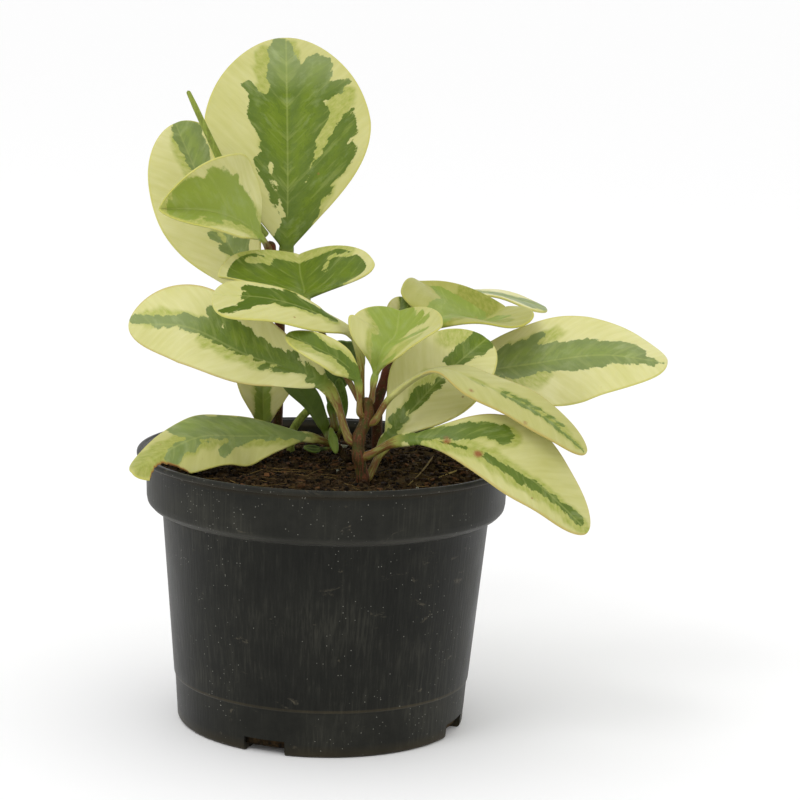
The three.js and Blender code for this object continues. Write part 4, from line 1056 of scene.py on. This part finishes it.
    strokes = list(pattern["green"])
    if strokes[0][0] < STREAK_END:
        low, wide = STREAK_SHARE * foot / length, strokes[0][4] + STREAK_EXTRA
        strokes.append((low, 0, STREAK_END, 0, STREAK_FOOT, wide))
    green = stroke_depth(flat_x, flat_y, strokes, spot)
    for gap in pattern.get("gap", []):
        green = np.minimum(green, -stroke_depth(flat_x, flat_y, [gap], spot))
    pale = stroke_depth(flat_x, flat_y, pattern["pale"], spot)
    scar = np.full(x.shape, NO_SCAR)
    for at, across, size in pattern.get("scar", []):
        a = spot(at, across)
        scar = np.maximum(scar, size - np.hypot(flat_x - a[0], flat_y - a[1]))
    inland = width - reach  # from the margin, and below from the tip as well
    scar = np.maximum(scar, np.where(torn > 0.4, TORN_DEPTH - TORN_SLOPE * inland, NO_SCAR))
    # across and along the side veins, which leave the midrib at 45 degrees
    slant = (flat_y - np.abs(flat_x)) / math.sqrt(2)
    run = (flat_y + np.abs(flat_x)) / math.sqrt(2)
    offset = rng.uniform(0, 400)
    petiole = 1 - smooth((travelled - foot) / -foot, 0.3, 1.2)[:, None] + 0 * x
    young, deep, silver = TONES.get(name, (0, 0, 0))
    # painted sheen, silvery towards the tip of some blades
    tip_sheen, silver_from, silver_to = SHEEN_TOWARDS_TIP.get(name, (0, 0, 1))
    silver = silver + tip_sheen * smooth(blade, silver_from, silver_to)[:, None]
    hem = np.minimum(inland, to_tip / 2) - pattern.get("hem", -FAR)
    marks = {
        "green": green, "pale": pale, "scar": scar, "petiole": petiole, "young": young,
        "deep": deep, "silver": silver, "shade": AGE_AND_SHADE.get(name, 0), "rim": inland + FAR * (1 - flat),
        "hem": hem + FAR * (1 - flat), "rib": np.abs(flat_x) + 6 * (1 - flat),
    }
    item = piece(
        "fine_" + name, *closed_rings(rings, centre[0], centre[-1]),
        LEAF_FINISH.get(name, variegated),
        maps={
            "flat": np.stack([all_round(flat_x + offset), all_round(flat_y)], -1),
            "veins": np.stack([all_round(slant), all_round(run * VEIN_STRETCH + offset)], -1),
        },
        values={
            "under": all_round(0 * x, 0 * x + flat),
            **{key: all_round(0 * x + sheet) for key, sheet in marks.items()},
        },
    )
    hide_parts(name)


for leaf_name, leaf_form in LEAVES.items():
    make_leaf(leaf_name, leaf_form, PATTERNS[leaf_name])

# ---------------------------------------------------------------- stems

STEM_FINISH = {
    "stem_front": (red_stem, "stem"), "stem_back": (dark_stem, "stem"),
    "stem_tall": (dark_stem, "stem"), "young_shoot": (green_shoot, "shoot"),
    "flower_spike": (green_shoot, "shoot"), "stem_side": (shaded_stem, "stem"),
}
STEM_RINGS = 170
STEM_SIDES = 28
JOINT_SWELL, JOINT_LENGTH = 0.16, 1.8  # share by which a stem thickens at a joint, and over what
STEM_WAVE = 0.03  # height of the waves round a stem, as a share of its radius
STEM_WAVES, STEM_TWIST = 5, 0.2  # their number, and by how many radians they turn in a millimetre
SPIKE_TAPER = [0, 0.5, 0.9, 1], [1.6, 1.3, 1, 0.75]  # places, and shares of the radius there


def make_stem(name, stem):
    """A round stem along its curve.

    Its radius swells by a sixth at each joint where a leaf leaves it, as a bell curve, waves by
    a few hundredths round it, and closes at the upper end as a quarter circle. The spike tapers
    towards its tip as well.
    """
    knot = np.linspace(0, len(stem["path"]) - 1, STEM_RINGS)
    centre, along = curve_at(stem["path"], knot)
    travelled = np.concatenate([[0], np.cumsum(np.linalg.norm(np.diff(centre, axis=0), axis=1))])
    share = travelled / travelled[-1]
    joint = np.zeros(len(knot))
    for leaf in LEAVES.values():
        if leaf["stem"] == name:
            away = travelled - np.interp(leaf["at"], knot, travelled)
            joint = np.maximum(joint, np.exp(-((away / JOINT_LENGTH) ** 2)))
    radius = stem["radius"] * (1 + JOINT_SWELL * joint)
    if name == "flower_spike":
        radius = stem["radius"] * np.interp(share, *SPIKE_TAPER)
    left = travelled[-1] - travelled
    radius = radius * np.sqrt(1 - (1 - np.clip(left / stem["radius"], 0, 1)) ** 2)
    reference = np.array([0, 0, 1.0]) if name == "stem_side" else np.array([0, -1.0, 0])
    normal = unit(reference - (along @ reference)[:, None] * along)
    across = np.cross(along, normal)
    turn = np.linspace(0, 2 * np.pi, STEM_SIDES, endpoint=False)
    wave = 1 + STEM_WAVE * np.sin(STEM_WAVES * turn[None] + STEM_TWIST * travelled[:, None])
    ring = radius[:, None] * wave
    rings = (
        centre[:, None]
        + normal[:, None] * (ring * np.cos(turn))[..., None]
        + across[:, None] * (ring * np.sin(turn))[..., None]
    )[:-1]

    def on_rings(numbers):
        """One number for each point of the mesh from one for each ring."""
        return np.concatenate([np.repeat(numbers, STEM_SIDES), numbers[[0, -1]]])

    finish, slot = STEM_FINISH[name]
    item = piece(
        "fine_" + name, *closed_rings(rings, rings[0].mean(0), centre[-1]), finish,
        values={"height": on_rings(share[:-1]), "joint": on_rings(joint[:-1])},
    )
    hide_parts(name)


for stem_name, stem_form in STEMS.items():
    make_stem(stem_name, stem_form)

# ---------------------------------------------------------------- soil

SOIL_LEVEL = 87.6
SOIL_RISE = 1.2
SOIL_LUMPS = 0.55
SOIL_RADIUS = 60.2
MOUND_RADIUS = 61.8  # where the mound of the solid ends
SOIL_RINGS, SOIL_SIDES = 140, 300
SOIL_FOOT = ((60, 80), (54.3, 74.2), (49.2, 16), (47.7, 2.3), (24, 2.3))  # radius and height
SOIL_SEED = 5
GRAIN_SIZES = (6.5, 1.9, 0.8)  # of the clods, the crumbs and the grit
CLOD_HEIGHT, CRUMB_HEIGHT, GRIT_HEIGHT = 1.9, 0.45, 0.2
CLOD_SINK = 0.5  # how far the clods are let down, so that the mound keeps its height
CORNER_SHIFT = 0.35  # share of its size by which a chip's corner is moved
CHIP_TILT = 0.6  # radians
CHIP_LIFT = 0.25


def soil_height(x, y):
    """The solid's low mound and lumps, with clods of 6.5 mm, crumbs of 2 mm and grit on top."""
    share = np.hypot(x, y) / MOUND_RADIUS
    lumps = np.sin(x * 0.31 + y * 0.12) * np.cos(y * 0.27 - x * 0.09)
    lumps = lumps + 0.5 * np.sin(x * 0.73) * np.sin(y * 0.61 + 1)
    height = SOIL_LEVEL + SOIL_RISE * (1 - share**2) + SOIL_LUMPS * lumps * (1 - share**6)
    clods, crumbs, grit = (
        lattice_noise(x / size + 20, y / size + 20, SOIL_SEED + extra)
        for extra, size in enumerate(GRAIN_SIZES)
    )
    height = height + CLOD_HEIGHT * np.abs(clods) - CLOD_SINK
    return height + CRUMB_HEIGHT * crumbs + GRIT_HEIGHT * grit


def make_soil():
    """A closed plug: a disc of rings lifted to the soil's height, and a side down to the floor."""
    turn = np.linspace(0, 2 * np.pi, SOIL_SIDES, endpoint=False)
    top = SOIL_RADIUS * (np.arange(1, SOIL_RINGS + 1) / SOIL_RINGS) ** 0.8
    wide, height = np.array(SOIL_FOOT).T
    wide = np.concatenate([top, wide])[:, None]
    x, y = wide * np.cos(turn), wide * np.sin(turn)
    low = np.broadcast_to(height[:, None], (len(height), SOIL_SIDES))
    z = np.concatenate([soil_height(x[:SOIL_RINGS], y[:SOIL_RINGS]), low])
    peak = [0, 0, float(soil_height(np.array(0.0), np.array(0.0)))]
    rings = np.stack([x, y, z], -1)
    item = piece("fine_soil", *closed_rings(rings, peak, [0, 0, SOIL_FOOT[-1][1]]), earth)
    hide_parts("soil")


def turned_about(angles, tilt):
    """Rotation matrices: each turned about Z by an angle, after a tilt about X."""
    c, s, ct, st = np.cos(angles), np.sin(angles), np.cos(tilt), np.sin(tilt)
    zero = 0 * c
    return np.stack([
        np.stack([c, -s * ct, s * st], -1),
        np.stack([s, c * ct, -c * st], -1),
        np.stack([zero, st, ct], -1),
    ], -2)


def strewn(rng, count, margin):
    """Seeded places on the soil, even over its area, clear of the wall by the margin."""
    distance = (SOIL_RADIUS - margin) * np.sqrt(rng.uniform(0, 1, count))
    angle = rng.uniform(0, 2 * np.pi, count)
    x, y = distance * np.cos(angle), distance * np.sin(angle)
    return np.stack([x, y, soil_height(x, y)], -1)


def make_chips(name, count, size, finish, seed, first=None):
    """Angular crumbs: boxes with every corner shifted at random, half sunk in the soil.

    first, if given, is where the first of them lies.
    """
    rng = np.random.default_rng(seed)
    scale = rng.uniform(0.5, 1, (count, 1)) * rng.uniform(0.55, 1.2, (count, 3)) * np.array(size)
    shift = rng.uniform(-CORNER_SHIFT, CORNER_SHIFT, (count, 8, 3))
    shape = BOX_CORNERS * (1 + shift) * scale[:, None] / 2
    spin, tilt = rng.uniform(0, 2 * np.pi, count), rng.uniform(-CHIP_TILT, CHIP_TILT, count)
    turn = turned_about(spin, tilt)
    places = strewn(rng, count, max(size) * 0.7)
    if first is not None:
        places[0] = [*first, soil_height(np.array(first[0]), np.array(first[1]))]
        shape[0] *= 1.5
    points = np.einsum("nij,nkj->nki", turn, shape) + places[:, None] + [0, 0, CHIP_LIFT]
    quads = (BOX_FACES + 8 * np.arange(count)[:, None, None]).reshape(-1, 4)
    tone = np.repeat(rng.uniform(0, 1, count), 8)
    item = piece(name, points.reshape(-1, 3), quads, [], finish, values={"tone": tone})
    item.data.shade_flat()


def make_fibres(name, ends, radius, finish, seed):
    """Root fibres and straw: thin four-sided tubes that sag or arch a little between two ends."""
    rng = np.random.default_rng(seed)
    ends = np.asarray(ends, float)
    count, steps, sides = len(ends), 9, 4
    share = np.linspace(0, 1, steps)[None, :, None]
    bend = rng.uniform(-1, 1, (count, 1, 3)) * [2.2, 2.2, 0.5]
    line = ends[:, :1] * (1 - share) + ends[:, 1:] * share + 4 * share * (1 - share) * bend
    run = unit(np.gradient(line, axis=1))
    across = unit(np.cross(run, [0, 0, 1.0]))
    upward = np.cross(across, run)
    turn = np.linspace(0, 2 * np.pi, sides, endpoint=False)
    wide = (radius * rng.uniform(0.6, 1.2, (count, 1)))[..., None] * np.interp(
        np.linspace(0, 1, steps), [0, 0.1, 0.9, 1], [0.3, 1, 1, 0.3]
    )[None, :, None]
    points = (
        line[:, :, None]
        + across[:, :, None] * (wide * np.cos(turn))[..., None]
        + upward[:, :, None] * (wide * np.sin(turn))[..., None]
    )
    each = steps * sides
    caps = [[3, 2, 1, 0], [each - 4, each - 3, each - 2, each - 1]]
    quads = np.concatenate([grid_quads(steps, sides), caps])
    quads = (quads + each * np.arange(count)[:, None, None]).reshape(-1, 4)
    tone = np.repeat(rng.uniform(0, 1, count), each)
    item = piece(name, points.reshape(-1, 3), quads, [], finish, values={"tone": tone})


def fibre_ends(count, seed):
    """Seeded pairs of ends on the soil, 5 to 16 mm apart."""
    rng = np.random.default_rng(seed)
    middle = strewn(rng, count, 10)
    angle, reach = rng.uniform(0, np.pi, count), rng.uniform(2.5, 8, count)
    arm = np.stack([np.cos(angle) * reach, np.sin(angle) * reach, 0 * angle], -1)
    ends = np.stack([middle - arm, middle + arm], 1)
    ends[..., 2] = soil_height(ends[..., 0], ends[..., 1]) + 0.3
    return ends


make_soil()
make_chips("bark_chips", 420, (2.9, 1.9, 1.1), bark, 11)
make_chips("soil_crumbs", 3600, (1.6, 1.4, 1.3), peat, 12)
make_chips("perlite", 14, (1.8, 1.5, 1.3), perlite, 13, first=(4.9, 30))
make_fibres("root_fibres", fibre_ends(200, 14), 0.1, root_fibre, 15)
make_fibres(
    "straw_stalks",
    [[[27.8, -33, 89.4], [36.3, 8, 91.4]],
     [[38, -20, 89.6], [49, -2, 90.6]]],
    0.32, straw, 16,
)

# ---------------------------------------------------------------- pot

POT_PROFILE = [
    [0, 0], [48.6, 0], [49.4, 0.8], [50.5, 15.6], [50.9, 16], [56, 73.4],
    [57.9, 73.7], [59.7, 74.6], [61.05, 76.1], [61.4, 77.9], [61.8, 91.2],
    [64.5, 91.2], [65, 91.7], [65, 92.7], [64.6, 93.2], [63.7, 93.2], [63.4, 92.8], [62.2, 92.8],
    [60.4, 90.7], [60, 77.9], [54.6, 73.9], [49.5, 16], [48, 2], [0, 2],
]
DRAIN_ANGLES = (-110, -20, 70, 160)
DRAIN_BLOCK = (18, 14.5, 10)  # the block that cuts a notch, half of it outside the foot
FOOT_RADIUS = 49.4
CORNER_REACH, CORNER_STEPS = 0.35, 4  # how far from a corner its curve starts, and its points
WALL_STEP = 3  # longest stretch of the profile between two rings
POT_SIDES = 288
SWAY = 0.0012, 0.0006  # shares of the radius by which the wall is out of round


def rounded(profile, reach, steps):
    """The profile with each corner replaced by a small curve.

    The curve is the quadratic through a point before the corner and one after it, with the
    corner as its control point.
    """
    profile = np.array(profile, float)
    before, corner, after = profile[:-2], profile[1:-1], profile[2:]
    back = np.linalg.norm(before - corner, axis=1, keepdims=True)
    ahead = np.linalg.norm(after - corner, axis=1, keepdims=True)
    a = corner + (before - corner) / back * np.minimum(reach, back * 0.45)
    b = corner + (after - corner) / ahead * np.minimum(reach, ahead * 0.45)
    t = np.linspace(0, 1, steps)[None, :, None]
    arcs = a[:, None] * (1 - t) ** 2 + 2 * corner[:, None] * t * (1 - t) + b[:, None] * t**2
    return np.concatenate([profile[:1], arcs.reshape(-1, 2), profile[-1:]])


def make_pot():
    """The profile turned about the pot's axis, with the drain notches cut out of its foot."""
    line = rounded(POT_PROFILE, CORNER_REACH, CORNER_STEPS)
    extra = []
    for a, b in zip(line[:-1], line[1:]):
        count = max(1, int(np.linalg.norm(b - a) // WALL_STEP))
        extra.append(a + (b - a) * np.linspace(0, 1, count, endpoint=False)[:, None])
    line = np.concatenate([*extra, line[-1:]])[1:-1]
    turn = np.linspace(0, 2 * np.pi, POT_SIDES, endpoint=False)
    sway = 1 + SWAY[0] * np.sin(3 * turn + 1) + SWAY[1] * np.sin(7 * turn)
    ring = line[:, :1] * sway
    rings = np.stack([
        ring * np.cos(turn), ring * np.sin(turn), np.broadcast_to(line[:, 1:], ring.shape)
    ], -1)
    item = piece("fine_pot", *closed_rings(rings, [0, 0, 0], [0, 0, 2]), black_plastic)
    for angle in DRAIN_ANGLES:
        block = bpy.data.meshes.new("drain_block")
        corners = BOX_CORNERS * DRAIN_BLOCK / 2 + [FOOT_RADIUS, 0, 0]
        spin = np.array(Matrix.Rotation(math.radians(angle), 3, "Z"))
        block.from_pydata((corners @ spin.T * MM).tolist(), [], BOX_FACES.tolist())
        cutter = bpy.data.objects.new("drain_block", block)
        bpy.context.scene.collection.objects.link(cutter)
        cut = item.modifiers.new("drain", "BOOLEAN")
        cut.operation = "DIFFERENCE"
        cut.solver = "EXACT"
        cut.object = cutter
        carved = bpy.data.meshes.new_from_object(
            item.evaluated_get(bpy.context.evaluated_depsgraph_get())
        )
        item.modifiers.clear()
        item.data = carved
        bpy.data.objects.remove(cutter)
        bpy.data.meshes.remove(block)
    item.data.name = "fine_pot"
    item.data.set_sharp_from_angle(angle=math.radians(40))
    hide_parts("pot")


make_pot()

# ---------------------------------------------------------------- studio

CAMERA_PLACE = np.array([24.17, -850, 262])
CAMERA_AIM = np.array([24.17, 0, 111.963])
CAMERA_ROLL = 1.963  # degrees
CAMERA_LENS = 114.03
SENSOR = 36
FLOOR_RADIUS = 30  # metres
FLOOR_SIDES = 96


def posed(item, x, y, z, place):
    """Puts a camera or lamp at a place in metres, with its axes along x, y and z."""
    pose = np.eye(4)
    pose[:3] = np.stack([x, y, z, place], -1)
    item.matrix_world = Matrix(pose.tolist())
    bpy.context.scene.collection.objects.link(item)


view = unit(CAMERA_AIM - CAMERA_PLACE)
level = unit(np.cross(view, [0, 0, 1]))
above_view = np.cross(level, view)
roll = math.radians(CAMERA_ROLL)
camera_x = level * math.cos(roll) + above_view * math.sin(roll)
camera_y = above_view * math.cos(roll) - level * math.sin(roll)
camera_data = bpy.data.cameras.new("camera")
camera_data.lens = CAMERA_LENS
camera_data.sensor_width = SENSOR
camera_data.clip_start = 0.05
camera_data.clip_end = 100
camera = bpy.data.objects.new("camera", camera_data)
posed(camera, camera_x, camera_y, -view, CAMERA_PLACE * MM)
bpy.context.scene.camera = camera


def matt_floor():
    """Matt white studio paper."""
    made, node = new_material("matt_studio_paper")
    shader = node("BsdfPrincipled", {"Base Color": colour("#fdfdfd"), "Roughness": 0.9})
    node("OutputMaterial", [shader])
    return made


floor_mesh = bpy.data.meshes.new("floor")
floor_turn = np.linspace(0, 2 * np.pi, FLOOR_SIDES, endpoint=False)
floor_ring = FLOOR_RADIUS * np.stack([np.cos(floor_turn), np.sin(floor_turn), 0 * floor_turn], -1)
floor_mesh.from_pydata(floor_ring.tolist(), [], [tuple(range(FLOOR_SIDES))])
floor_mesh.materials.append(matt_floor())
floor = bpy.data.objects.new("floor", floor_mesh)
bpy.context.scene.collection.objects.link(floor)

world = bpy.data.worlds.new("studio")
bpy.context.scene.world = world
world.use_nodes = True
background = world.node_tree.nodes["Background"]
background.inputs["Color"].default_value = (1, 1, 1, 1)
background.inputs["Strength"].default_value = 1


def soft_light(name, place, aim, size, power):
    """A square area light at a place in metres, turned towards a point."""
    data = bpy.data.lights.new(name, "AREA")
    data.shape = "SQUARE"
    data.size = size
    data.energy = power
    lamp = bpy.data.objects.new(name, data)
    back = unit(np.subtract(place, aim))
    side = unit(np.cross([0, 0, 1], back))
    posed(lamp, side, np.cross(back, side), back, place)


soft_light("key", (-0.7, -0.9, 1.5), (0, 0, 0.1), 0.6, 6)

bpy.context.scene.view_settings.view_transform = "Standard"

# ---------------------------------------------------------------- end


bpy.context.view_layer.update()
